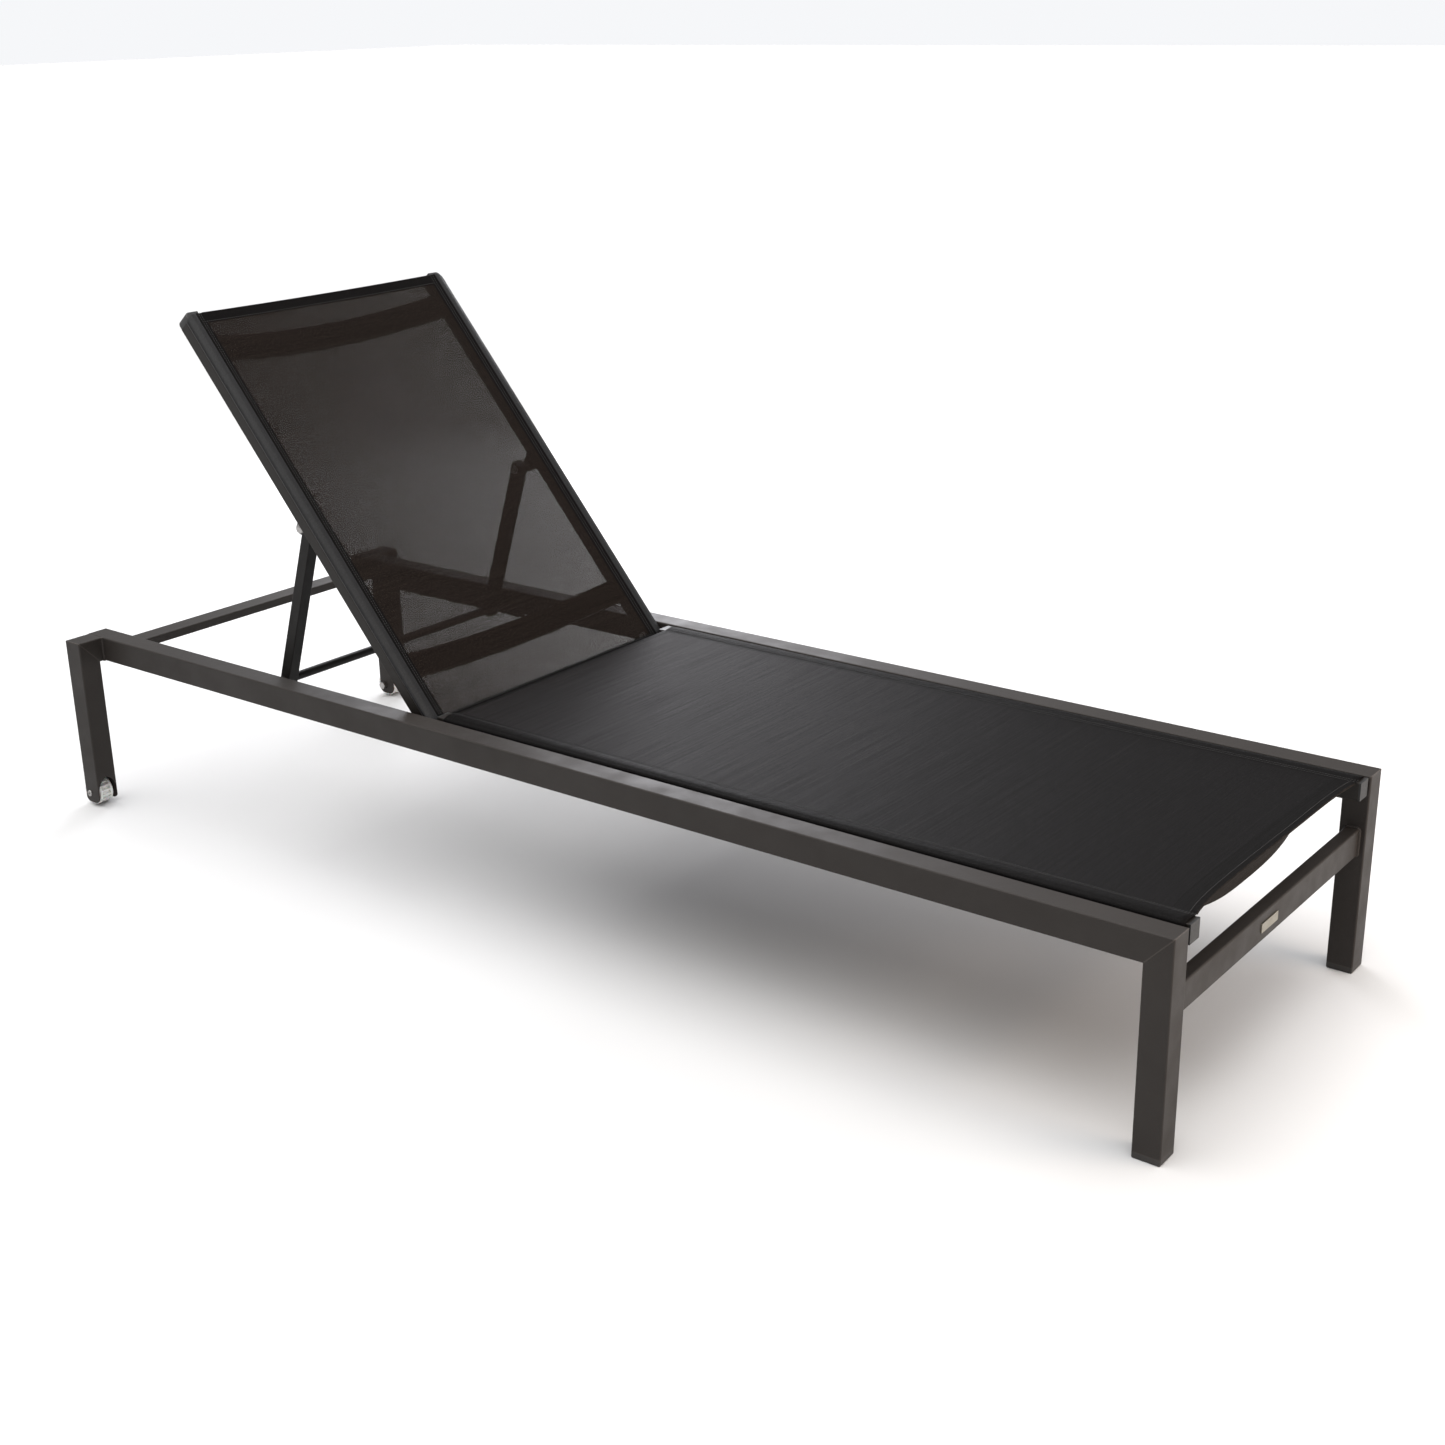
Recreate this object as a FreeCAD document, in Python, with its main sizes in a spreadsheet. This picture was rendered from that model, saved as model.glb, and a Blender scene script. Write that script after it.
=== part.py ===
import FreeCAD, Part
import math
import os
import Sketcher

# A reclining sun lounger: a welded frame of rectangular tube on two wheels and two feet,
# a fixed seat sling, and a backrest that hinges on the frame and is propped on a notched rack.
# Frame of the model: +X from the head end to the foot end, +Y to the left of someone lying on it,
# +Z up. The origin is at the middle of the footprint, on the ground. Lengths are millimetres.

DIMENSIONS = [
    # name, value, meaning
    ("rail_length", 2000, "side rail, head end to foot end"),
    ("frame_width", 637, "over the outer faces of the side rails"),
    ("frame_height", 297, "ground to the top of the side rails"),
    ("rail_width", 38, "width of the side rails and of all four legs"),
    ("rail_height", 41, "height of the side rails"),
    ("tube_wall", 1.5, "wall of the frame tubes"),
    ("tube_round", 2.5, "outer corner radius of the frame tubes"),
    ("leg_outset", 46, "outer face of a head leg beyond the outer face of its rail"),
    ("bar_width", 40, "flat cross tubes, along the lounger"),
    ("bar_height", 15, "flat cross tubes, their thickness"),
    ("foot_bar_depth", 20, "cross tube between the foot legs, along the lounger"),
    ("foot_bar_height", 40, "cross tube between the foot legs, upright"),
    ("foot_bar_middle", 198.5, "ground to the middle of the foot cross tube"),
    ("foot_bar_inset", 9, "foot cross tube's face behind the legs' face"),
    ("plate_length", 50, "blank plate on the foot cross tube"),
    ("plate_height", 13, "blank plate, upright"),
    ("plate_thickness", 1.5, "blank plate"),
    ("plate_round", 1.5, "blank plate's corners"),
    ("plate_offset", 20, "blank plate's middle, to the right of the centre line"),
    ("foot_cap_height", 9, "part of a foot cap below its tube"),
    ("foot_cap_insert", 22, "part of a foot cap inside its tube"),
    ("foot_cap_round", 2.5, "lower edges of a foot cap"),
    ("wheel_radius", 22.5, "wheel tread"),
    ("wheel_width", 26, "wheel rim"),
    ("hub_width", 33, "wheel hub, between the ears of its leg"),
    ("hub_radius", 8, "wheel hub"),
    ("rim_depth", 5, "wheel rim, tread to inside"),
    ("web_thickness", 6, "wheel web between hub and rim"),
    ("axle_from_head", 12, "wheel axle from the head end"),
    ("ear_bottom", 7, "ground to the end of a head leg"),
    ("ear_round", 13, "radius of the ears' lower corners"),
    ("fork_apex", 53, "ground to the top of the arch over a wheel"),
    ("fork_rise", 25, "curved part of that arch"),
    ("bolt_radius", 4, "all pivot bolts"),
    ("bolt_head_radius", 8, "domed bolt head"),
    ("bolt_head_height", 5, "domed bolt head"),
    ("wheel_bolt_head_radius", 5.5, "low head of a wheel bolt"),
    ("wheel_bolt_head_height", 2, "low head of a wheel bolt"),
    ("wheel_bolt_socket", 2.2, "round socket in that head, its radius"),
    ("nut_radius", 7.5, "pivot nuts, across corners, halved"),
    ("nut_height", 6.5, "pivot nuts"),
    ("running_gap", 0.05, "radial clearance of a pivot bolt in its hole"),
    ("side_gap", 0.3, "clearance beside a turning part"),
    ("spare", 5, "how far a cut runs past the metal it removes"),
    ("sling_rail_width", 25, "extruded rail that holds a sling"),
    ("sling_rail_height", 26, "extruded rail that holds a sling"),
    ("sling_rail_wall", 1.8, "extruded rail that holds a sling"),
    ("sling_gap", 7, "between a side rail and the sling rail beside it"),
    ("groove_level", 20.5, "underside of a sling rail to the middle of its groove"),
    ("groove_slot", 3, "mouth of the groove"),
    ("groove_radius", 3.7, "round bottom of the groove"),
    ("groove_depth", 5.2, "outer face of the sling rail to the groove's middle"),
    ("keder_radius", 3, "rod that locks a sling's edge in the groove"),
    ("sling_thickness", 1.2, "woven sling"),
    ("end_cap", 3, "flat end caps of the sling rails"),
    ("cap_edge", 2, "rounded edges of plastic caps and of the wheels"),
    ("sling_rail_round", 1, "outer corners of a sling rail"),
    ("seat_head", 790, "seat rails' head end, from the head end"),
    ("seat_foot", 1998, "seat rails' foot end, from the head end"),
    ("seat_sling_head", 805, "seat sling's head edge"),
    ("seat_sling_foot", 1992, "seat sling's foot edge"),
    ("seat_bar_first", 850, "middle of the first seat cross tube, from the head end"),
    ("seat_bar_pitch", 430, "from one seat cross tube to the next"),
    ("screw_radius", 2.4, "screws that hold the seat rails"),
    ("screw_head_radius", 4.5, "the same screws"),
    ("screw_length", 20, "the same screws, under the head"),
    ("screw_head_height", 2.5, "the same screws' heads"),
    ("screw_clearance", 0.1, "radial, round those screws in a cross tube"),
    ("back_angle", 50, "backrest above the horizontal, raised"),
    ("hinge_from_head", 756.3, "backrest hinge, from the head end"),
    ("hinge_height", 279, "backrest hinge, above the ground"),
    ("back_head", 20, "backrest's top end when it lies flat, from the head end"),
    ("back_foot", 774, "backrest's lower end when it lies flat"),
    ("back_cap", 14, "rounded caps at the backrest's top"),
    ("back_cap_round", 9, "outer corner of those caps"),
    ("back_sling_head", 34, "back sling's top edge when it lies flat"),
    ("back_sling_foot", 768, "back sling's lower edge when it lies flat"),
    ("back_bar_lower", 665, "middle of the lower back cross tube when it lies flat"),
    ("back_bar_upper", 77, "middle of the upper back cross tube when it lies flat"),
    ("back_bar_bow", 32, "back cross tubes, how far their middle curves away from the sling"),
    ("bush_radius", 8, "nylon bushes at the hinge and the prop"),
    ("lug_inset", 62, "prop lug's outer face from the frame's outer face"),
    ("lug_thickness", 5, "prop lug"),
    ("lug_length", 34, "prop lug, along the back rail"),
    ("lug_round", 10, "prop lug's round end"),
    ("pivot_along", 363.4, "hinge to prop pivot, along the backrest"),
    ("pivot_below", 27, "prop pivot behind the hinge, across the backrest"),
    ("arm_inset", 75, "prop arm's outer face from the frame's outer face"),
    ("arm_size", 20, "prop arm, square tube"),
    ("arm_round", 1.5, "corners of that tube"),
    ("arm_length", 283, "prop pivot to the middle of the rod"),
    ("arm_overhang", 9, "prop arm beyond the pivot and beyond the rod"),
    ("arm_plug", 1.5, "plastic plug that closes an arm's end"),
    ("rod_radius", 7, "rod that joins the prop arms and rests in the racks"),
    ("rod_level", 272, "ground to the middle of the rod in a notch"),
    ("rod_flat_level", 264, "ground to the middle of the rod when the back lies flat"),
    ("rack_thickness", 4, "notched rack"),
    ("rack_top", 281, "ground to the top of the racks"),
    ("rack_bottom", 251, "ground to the underside of the racks"),
    ("rack_gap", 0.5, "between the rod's end and the rack's face"),
    ("notch_ramp", 16, "slope from the rack's top down into a notch"),
]
RAISED_ANGLES = (50, 40, 30, 20)  # degrees above the horizontal, one notch each
SIDES = {"left": 1, "right": -1}
DOME = 0.85  # share of a bolt head's height that is rounded
SCREW_TAPER = 0.7  # a countersunk head's radius at the shank, as a share of its rim

V = FreeCAD.Vector
Rotation = FreeCAD.Rotation
Placement = FreeCAD.Placement

# A tube is drawn upright, along its own Z. These turn it along the lounger or across it.
UPRIGHT = Rotation()
ALONG = Rotation(V(1, 1, 1), 120)  # own X goes to Y, own Y to Z, own Z to X
ACROSS = Rotation(V(1, 1, 1), 240)  # own X goes to Z, own Y to X, own Z to Y

doc = FreeCAD.newDocument("sun_lounger")
sheet = doc.addObject("Spreadsheet::Sheet", "Dim")
for row, (alias, value, meaning) in enumerate(DIMENSIONS, 1):
    sheet.set(f"A{row}", meaning)
    sheet.set(f"B{row}", str(value))
    sheet.setAlias(f"B{row}", alias)
doc.recompute()

nodes = []


# ---------------------------------------------------------------- drawing helpers

def size(expression):
    """The value of an expression in the sheet's cells."""
    return float(sheet.evalExpression(expression))


def new_body(label):
    body = doc.addObject("PartDesign::Body", label)
    body.Label = label
    nodes.append(body)
    return body


def new_sketch(body, plane_role):
    sketch = body.newObject("Sketcher::SketchObject", body.Name + "_sketch")
    plane = next(item for item in body.Origin.OriginFeatures if item.Role == plane_role)
    sketch.AttachmentSupport = (plane, [""])
    sketch.MapMode = "FlatFace"
    return sketch


def fix_point(sketch, edge, point, x, y):
    """Holds one point of an edge at (x, y), two expressions."""
    for kind, expression in (("DistanceX", x), ("DistanceY", y)):
        constraint = Sketcher.Constraint(kind, -1, 1, edge, point, size(expression))
        number = sketch.addConstraint(constraint)
        sketch.setExpression(f"Constraints[{number}]", expression)


def arc_between(start, end, radius):
    """The short arc between two points; a positive radius turns left on the way, a negative right."""
    chord = end - start
    half = chord.Length / 2
    offset = math.sqrt(radius ** 2 - half ** 2) * math.copysign(1, radius)
    centre = (start + end) / 2 + V(-chord.y, chord.x, 0) * (offset / chord.Length)
    first, last = (start, end) if radius > 0 else (end, start)
    angles = [math.atan2(point.y - centre.y, point.x - centre.x) for point in (first, last)]
    if angles[1] < angles[0]:
        angles[1] += 2 * math.pi
    return Part.ArcOfCircle(Part.Circle(centre, V(0, 0, 1), abs(radius)), *angles)


def outline(sketch, corners):
    """A closed outline through corners, each (x, y) in expressions.

    A corner with a third expression starts an arc of that radius to the next corner: positive
    when the arc turns left on the way, negative when it turns right.
    """
    points = [V(size(corner[0]), size(corner[1]), 0) for corner in corners]
    first = sketch.GeometryCount
    ends = []
    for corner, start, end in zip(corners, points, points[1:] + points[:1]):
        if len(corner) == 2:
            sketch.addGeometry(Part.LineSegment(start, end))
            ends.append((1, 2))
        else:
            sketch.addGeometry(arc_between(start, end, size(corner[2])))
            ends.append((1, 2) if size(corner[2]) > 0 else (2, 1))
    last = len(corners) - 1
    for count, (starts, finishes) in enumerate(ends):
        following = 0 if count == last else count + 1
        sketch.addConstraint(Sketcher.Constraint(
            "Coincident", first + count, finishes, first + following, ends[following][0]))
    for count, corner in enumerate(corners):
        fix_point(sketch, first + count, ends[count][0], corner[0], corner[1])
        if len(corner) == 3:
            radius = f"abs({corner[2]})"
            number = sketch.addConstraint(Sketcher.Constraint("Radius", first + count, size(radius)))
            sketch.setExpression(f"Constraints[{number}]", radius)


def rectangle(sketch, width, height, x="0", y="0"):
    """A rectangle centred on (x, y)."""
    left, right = f"{x} - ({width}) / 2", f"{x} + ({width}) / 2"
    low, high = f"{y} - ({height}) / 2", f"{y} + ({height}) / 2"
    outline(sketch, [(left, low), (right, low), (right, high), (left, high)])


def circle(sketch, radius, x="0", y="0"):
    centre = V(size(x), size(y), 0)
    edge = sketch.addGeometry(Part.Circle(centre, V(0, 0, 1), size(radius)))
    number = sketch.addConstraint(Sketcher.Constraint("Radius", edge, size(radius)))
    sketch.setExpression(f"Constraints[{number}]", radius)
    if (x, y) == ("0", "0"):
        sketch.addConstraint(Sketcher.Constraint("Coincident", edge, 3, -1, 1))
    else:
        fix_point(sketch, edge, 3, x, y)


def pad(body, sketch, length, side="One side", back=False):
    feature = body.newObject("PartDesign::Pad", body.Name + "_pad")
    feature.Profile = sketch
    feature.SideType = side
    feature.Reversed = back
    feature.setExpression("Length", length)
    sketch.Visibility = False
    return feature


def cut(body, sketch, length=None, back=False):
    """Cuts the sketch out: right through both ways, or to a length one way."""
    feature = body.newObject("PartDesign::Pocket", body.Name + "_cut")
    feature.Profile = sketch
    if length is None:
        feature.Type = "ThroughAll"
        feature.SideType = "Symmetric"
    else:
        feature.SideType = "One side"
        feature.Reversed = back
        feature.setExpression("Length", length)
    sketch.Visibility = False
    before = body.Shape.Volume
    doc.recompute()
    if feature.Shape.Volume > before - 0.01:
        raise ValueError(f"{body.Label}: a cut removes nothing")
    return feature


def fillet(body, base, radius, chosen):
    """Rounds the edges of base that chosen(edge) picks."""
    doc.recompute()
    edges = [f"Edge{i}" for i, edge in enumerate(base.Shape.Edges, 1) if chosen(edge)]
    if not edges:
        raise ValueError(f"{body.Label}: no edge to round")
    feature = body.newObject("PartDesign::Fillet", body.Name + "_fillet")
    feature.Base = (base, edges)
    feature.setExpression("Radius", radius)
    return feature


def along_z(edge):
    start, end = edge.Vertexes[0].Point, edge.Vertexes[-1].Point
    return abs(start.x - end.x) < 1e-6 and abs(start.y - end.y) < 1e-6 and abs(start.z - end.z) > 1


def outer_corner(shape):
    """Picks the edges along Z at the outer corners of an upright tube."""
    box = shape.BoundBox

    def chosen(edge):
        point = edge.Vertexes[0].Point
        at_x = min(abs(point.x - box.XMin), abs(point.x - box.XMax)) < 1e-6
        at_y = min(abs(point.y - box.YMin), abs(point.y - box.YMax)) < 1e-6
        return along_z(edge) and at_x and at_y

    return chosen


def ring_at(height, radius):
    """Picks the round edges of one radius at one height."""

    def chosen(edge):
        curve = edge.Curve
        if curve.TypeId != "Part::GeomCircle":
            return False
        return abs(curve.Center.z - height) < 1e-6 and abs(curve.Radius - radius) < 1e-6

    return chosen


def put(thing, x, y, z, rotation=UPRIGHT, after=None):
    """Places a thing, and then moves it by a second placement, such as the raised back's."""
    placement = Placement(V(x, y, z), rotation)
    thing.Placement = placement if after is None else after.multiply(placement)


# ---------------------------------------------------------------- shared shapes

def rect_tube(label, width, depth, length, wall="Dim.tube_wall", corner="Dim.tube_round"):
    """A rectangular tube with rounded corners, from its own Z = 0 up."""
    body = new_body(label)
    section = new_sketch(body, "XY_Plane")
    rectangle(section, width, depth)
    rectangle(section, f"{width} - 2 * {wall}", f"{depth} - 2 * {wall}")
    tube = pad(body, section, length)
    doc.recompute()
    fillet(body, tube, corner, outer_corner(tube.Shape))
    doc.recompute()
    return body


def sling_rail(label, length):
    """The extruded rail with a round groove in its own -X face for the sling's edge."""
    body = new_body(label)
    section = new_sketch(body, "XY_Plane")
    half = "Dim.sling_rail_width / 2"
    wall = "Dim.sling_rail_wall"
    channel_low = "Dim.groove_level - Dim.groove_radius"
    channel_side = f"Dim.groove_depth + Dim.groove_radius + {wall} - {half}"
    rectangle(section, "Dim.sling_rail_width", "Dim.sling_rail_height", "0", "Dim.sling_rail_height / 2")
    lower_top = f"{channel_low} - {wall}"
    rectangle(section, f"Dim.sling_rail_width - 2 * {wall}", f"{lower_top} - {wall}",
              "0", f"({lower_top} + {wall}) / 2")
    upper_top = f"Dim.sling_rail_height - {wall}"
    inner_side = f"{half} - {wall}"
    outline(section, [(channel_side, channel_low), (inner_side, channel_low),
                      (inner_side, upper_top), (channel_side, upper_top)])
    rail = pad(body, section, length)
    doc.recompute()
    fillet(body, rail, "Dim.sling_rail_round", outer_corner(rail.Shape))
    doc.recompute()
    channel = new_sketch(body, "XY_Plane")
    circle(channel, "Dim.groove_radius", f"Dim.groove_depth - {half}", "Dim.groove_level")
    cut(body, channel)
    mouth = new_sketch(body, "XY_Plane")
    rectangle(mouth, "Dim.groove_depth", "Dim.groove_slot",
              f"Dim.groove_depth / 2 - {half}", "Dim.groove_level")
    cut(body, mouth)
    return body


def sling(label, length):
    """A woven sling: a flat top, a flap down each outer face and a lip into each groove."""
    body = new_body(label)
    section = new_sketch(body, "XY_Plane")
    face = "(Dim.frame_width / 2 - Dim.rail_width - Dim.sling_gap)"
    under = "(Dim.sling_rail_height + 0.1)"
    inner = f"({face} + 0.1)"
    lip_end = f"({face} - Dim.groove_depth + Dim.keder_radius + 0.1)"
    cloth = "Dim.sling_thickness"
    lip_low, lip_high = f"(Dim.groove_level - {cloth} / 2)", f"(Dim.groove_level + {cloth} / 2)"
    right = [(f"{inner} + {cloth}", f"{under} + {cloth}"), (f"{inner} + {cloth}", lip_low),
             (lip_end, lip_low), (lip_end, lip_high), (inner, lip_high), (inner, under)]
    left = [(f"-({x})", y) for x, y in reversed(right)]
    outline(section, right + left)
    pad(body, section, length)
    return body


def bolt(label, length, head_radius="Dim.bolt_head_radius", head_height="Dim.bolt_head_height"):
    """A domed bolt: the head above its own Z = 0, the shank below."""
    body = new_body(label)
    head = new_sketch(body, "XY_Plane")
    circle(head, head_radius)
    pad(body, head, head_height)
    shank = new_sketch(body, "XY_Plane")
    circle(shank, "Dim.bolt_radius")
    joined = pad(body, shank, length, back=True)
    doc.recompute()
    rim = ring_at(size(head_height), size(head_radius))
    fillet(body, joined, f"{head_height} * {DOME}", rim)
    doc.recompute()
    return body


def ring(name, outer, inner, height):
    """A plain round sleeve from its own Z = 0 up, as a cylinder with a hole."""
    outside = doc.addObject("Part::Cylinder", name + "_outside")
    outside.setExpression("Radius", outer)
    outside.setExpression("Height", height)
    bore = doc.addObject("Part::Cylinder", name + "_bore")
    bore.setExpression("Radius", inner)
    bore.setExpression("Height", height)
    sleeve = doc.addObject("Part::Cut", name)
    sleeve.Base, sleeve.Tool = outside, bore
    return sleeve


def hex_nut(name):
    """A hexagonal nut from its own Z = 0 up."""
    prism = doc.addObject("Part::Prism", name + "_prism")
    prism.Polygon = 6
    prism.setExpression("Circumradius", "Dim.nut_radius")
    prism.setExpression("Height", "Dim.nut_height")
    bore = doc.addObject("Part::Cylinder", name + "_bore")
    bore.setExpression("Radius", "Dim.bolt_radius")
    bore.setExpression("Height", "Dim.nut_height")
    nut = doc.addObject("Part::Cut", name)
    nut.Base, nut.Tool = prism, bore
    return nut


def group(label, members):
    """Like pieces that share one node, each a solid of its own."""
    compound = doc.addObject("Part::Compound", label)
    compound.Label = label
    compound.Links = members
    nodes.append(compound)
    return compound


# ---------------------------------------------------------------- places worked out once

overhang = size("Dim.wheel_radius - Dim.axle_from_head")  # wheels stand out past the head end
head_x = overhang - (size("Dim.rail_length") + overhang) / 2
foot_x = head_x + size("Dim.rail_length")
rail_y = size("(Dim.frame_width - Dim.rail_width) / 2")
rail_inner_y = size("Dim.frame_width / 2 - Dim.rail_width")
rail_z = size("Dim.frame_height - Dim.rail_height / 2")
rail_low_z = size("Dim.frame_height - Dim.rail_height")
sling_rail_y = size("Dim.frame_width / 2 - Dim.rail_width - Dim.sling_gap - Dim.sling_rail_width / 2")
sling_rail_z = size("Dim.frame_height - Dim.sling_rail_height")
head_leg_y = size("Dim.frame_width / 2 + Dim.leg_outset - Dim.rail_width / 2")
foot_leg_x = foot_x - size("Dim.rail_width / 2")
arm_y = size("Dim.frame_width / 2 - Dim.arm_inset - Dim.arm_size / 2")
lug_y = size("Dim.frame_width / 2 - Dim.lug_inset - Dim.lug_thickness / 2")

hinge = V(head_x + size("Dim.hinge_from_head"), 0, size("Dim.hinge_height"))


def raised(angle):
    """Turns what lies flat up about the hinge, by an angle in degrees."""
    return Placement(V(0, 0, 0), Rotation(V(0, 1, 0), angle), hinge)


BACK = raised(size("Dim.back_angle"))
pivot_flat = V(hinge.x - size("Dim.pivot_along"), 0, hinge.z - size("Dim.pivot_below"))


def rod_at(angle, level):
    """The rod's middle with the back at an angle and the rod at a height above the ground."""
    pivot = raised(angle).multVec(pivot_flat)
    drop = pivot.z - level
    reach = math.sqrt(size("Dim.arm_length") ** 2 - drop ** 2)
    return V(pivot.x - reach, 0, level)


# ---------------------------------------------------------------- side rails and legs

def half_turned(side):
    """Turns a piece that is drawn for the right side end for end when it goes on the left."""
    return Rotation(V(0, 0, 1), 180 if side == "left" else 0)


def side_rail(side, sign):
    """A side rail: mitred at the foot end, drilled in its inner wall for the hinge bolt."""
    body = rect_tube(f"side_rail_{side}", "Dim.rail_width", "Dim.rail_height", "Dim.rail_length")
    mitre = new_sketch(body, "YZ_Plane")
    half = "Dim.rail_height / 2"
    outline(mitre, [(f"-{half}", "Dim.rail_length - Dim.rail_width"), (half, "Dim.rail_length"),
                    (half, "Dim.rail_length + Dim.spare"),
                    (f"-{half} - Dim.spare", "Dim.rail_length + Dim.spare"),
                    (f"-{half} - Dim.spare", "Dim.rail_length - Dim.rail_width")])
    cut(body, mitre)
    bore = new_sketch(body, "YZ_Plane")
    middle = "Dim.hinge_height - Dim.frame_height + Dim.rail_height / 2"
    circle(bore, "Dim.bolt_radius", middle, "Dim.hinge_from_head")
    cut(body, bore, "Dim.rail_width", back=sign < 0)
    put(body, head_x, sign * rail_y, rail_z, ALONG)


def foot_leg(side, sign):
    """A foot leg: a tube up to the rail's mitre, with a cap in its lower end."""
    top = "Dim.frame_height - Dim.foot_cap_height"
    body = rect_tube(f"foot_leg_{side}", "Dim.rail_width", "Dim.rail_width", top)
    mitre = new_sketch(body, "XZ_Plane")
    half = "Dim.rail_width / 2"
    outline(mitre, [(f"-{half}", f"{top} - Dim.rail_height"), (half, top), (half, f"{top} + Dim.spare"),
                    (f"-{half} - Dim.spare", f"{top} + Dim.spare"),
                    (f"-{half} - Dim.spare", f"{top} - Dim.rail_height")])
    cut(body, mitre)
    put(body, foot_leg_x, sign * rail_y, size("Dim.foot_cap_height"))


def foot_cap(side, sign):
    """A plastic cap: a block with rounded lower edges under a plug that fills the tube."""
    body = new_body(f"foot_cap_{side}")
    sole = new_sketch(body, "XY_Plane")
    rectangle(sole, "Dim.rail_width", "Dim.rail_width")
    block = pad(body, sole, "Dim.foot_cap_height")
    doc.recompute()
    corners = fillet(body, block, "Dim.tube_round", outer_corner(block.Shape))
    doc.recompute()
    fillet(body, corners, "Dim.foot_cap_round", lambda edge: edge.BoundBox.ZMax < 1e-6)
    doc.recompute()
    insert = new_sketch(body, "XY_Plane")
    inside = "Dim.rail_width - 2 * Dim.tube_wall"
    rectangle(insert, inside, inside)
    pad(body, insert, "Dim.foot_cap_height + Dim.foot_cap_insert")
    put(body, foot_leg_x, sign * rail_y, 0)


def head_stub(side, sign):
    """The short tube that carries a head leg outboard of its rail, mitred to the leg."""
    body = rect_tube(f"head_stub_{side}", "Dim.rail_height", "Dim.rail_width", "Dim.leg_outset")
    mitre = new_sketch(body, "XZ_Plane")
    half = "Dim.rail_height / 2"
    end = "Dim.leg_outset"
    outline(mitre, [(f"-{half}", f"{end} - Dim.rail_width"), (half, end), (half, f"{end} + Dim.spare"),
                    (f"-{half} - Dim.spare", f"{end} + Dim.spare"),
                    (f"-{half} - Dim.spare", f"{end} - Dim.rail_width")])
    cut(body, mitre)
    outward = ACROSS if sign > 0 else Rotation(V(0, 0, 1), 180).multiply(ACROSS)
    put(body, head_x + size("Dim.rail_width / 2"), sign * size("Dim.frame_width / 2"), rail_z, outward)


def head_leg(side, sign):
    """A head leg: mitred to its stub, its lower end a fork with two ears round the wheel."""
    height = "(Dim.frame_height - Dim.ear_bottom)"
    body = rect_tube(f"head_leg_{side}", "Dim.rail_width", "Dim.rail_width", height)
    half = "Dim.rail_width / 2"
    mitre = new_sketch(body, "YZ_Plane")
    inner, outer = (f"-{half}", half) if sign > 0 else (half, f"-{half}")
    past = f"{inner} - Dim.spare" if sign > 0 else f"{inner} + Dim.spare"
    outline(mitre, [(inner, f"{height} - Dim.rail_height"), (outer, height), (outer, f"{height} + Dim.spare"),
                    (past, f"{height} + Dim.spare"), (past, f"{height} - Dim.rail_height")])
    cut(body, mitre)
    arch(body)
    ears = new_sketch(body, "XZ_Plane")
    circle(ears, "Dim.bolt_radius + Dim.running_gap", f"Dim.axle_from_head - {half}",
           "Dim.wheel_radius - Dim.ear_bottom")
    cut(body, ears)
    round_ears(body)
    put(body, head_x + size(half), sign * head_leg_y, size("Dim.ear_bottom"))


def arch(body):
    """The pointed arch in the head and foot faces of a head leg, open downwards."""
    opening = new_sketch(body, "YZ_Plane")
    inside = "(Dim.rail_width / 2 - Dim.tube_wall)"
    apex = "(Dim.fork_apex - Dim.ear_bottom)"
    spring = f"({apex} - Dim.fork_rise)"
    flank = f"(({inside} ^ 2 + Dim.fork_rise ^ 2) / (2 * {inside}))"
    outline(opening, [(f"-{inside}", "-Dim.spare"), (inside, "-Dim.spare"), (inside, spring, flank),
                      ("0", apex, flank), (f"-{inside}", spring)])
    cut(body, opening)


def round_ears(body):
    """Cuts both lower corners of both ears to a round."""
    for end in (-1, 1):
        corner = new_sketch(body, "XZ_Plane")
        edge = f"{end} * Dim.rail_width / 2"
        flat = f"{end} * (Dim.rail_width / 2 - Dim.ear_round)"
        outside = f"{end} * (Dim.rail_width / 2 + Dim.spare)"
        outline(corner, [(flat, "0", f"{end} * Dim.ear_round"), (edge, "Dim.ear_round"),
                         (outside, "Dim.ear_round"), (outside, "-Dim.spare"), (flat, "-Dim.spare")])
        cut(body, corner)


def wheel(side, sign):
    """A one-piece wheel: hub, thin web and rim, turned about its own Z."""
    body = new_body(f"wheel_{side}")
    section = new_sketch(body, "XZ_Plane")
    bore = "(Dim.bolt_radius + Dim.running_gap)"
    inside = "(Dim.wheel_radius - Dim.rim_depth)"
    hub, rim, web = "Dim.hub_width / 2", "Dim.wheel_width / 2", "Dim.web_thickness / 2"
    upper = [(bore, hub), ("Dim.hub_radius", hub), ("Dim.hub_radius", web), (inside, web),
             (inside, rim), ("Dim.wheel_radius - Dim.cap_edge", rim),
             ("Dim.wheel_radius", f"{rim} - Dim.cap_edge")]
    lower = [(x, f"-({y})") for x, y in reversed(upper)]
    outline(section, upper + lower)
    turned = body.newObject("PartDesign::Revolution", body.Name + "_turn")
    turned.Profile = section
    turned.ReferenceAxis = (section, ["V_Axis"])
    turned.Angle = 360
    doc.recompute()
    put(body, head_x + size("Dim.axle_from_head"), sign * head_leg_y, size("Dim.wheel_radius"),
        Rotation(V(1, 0, 0), 90))


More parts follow.
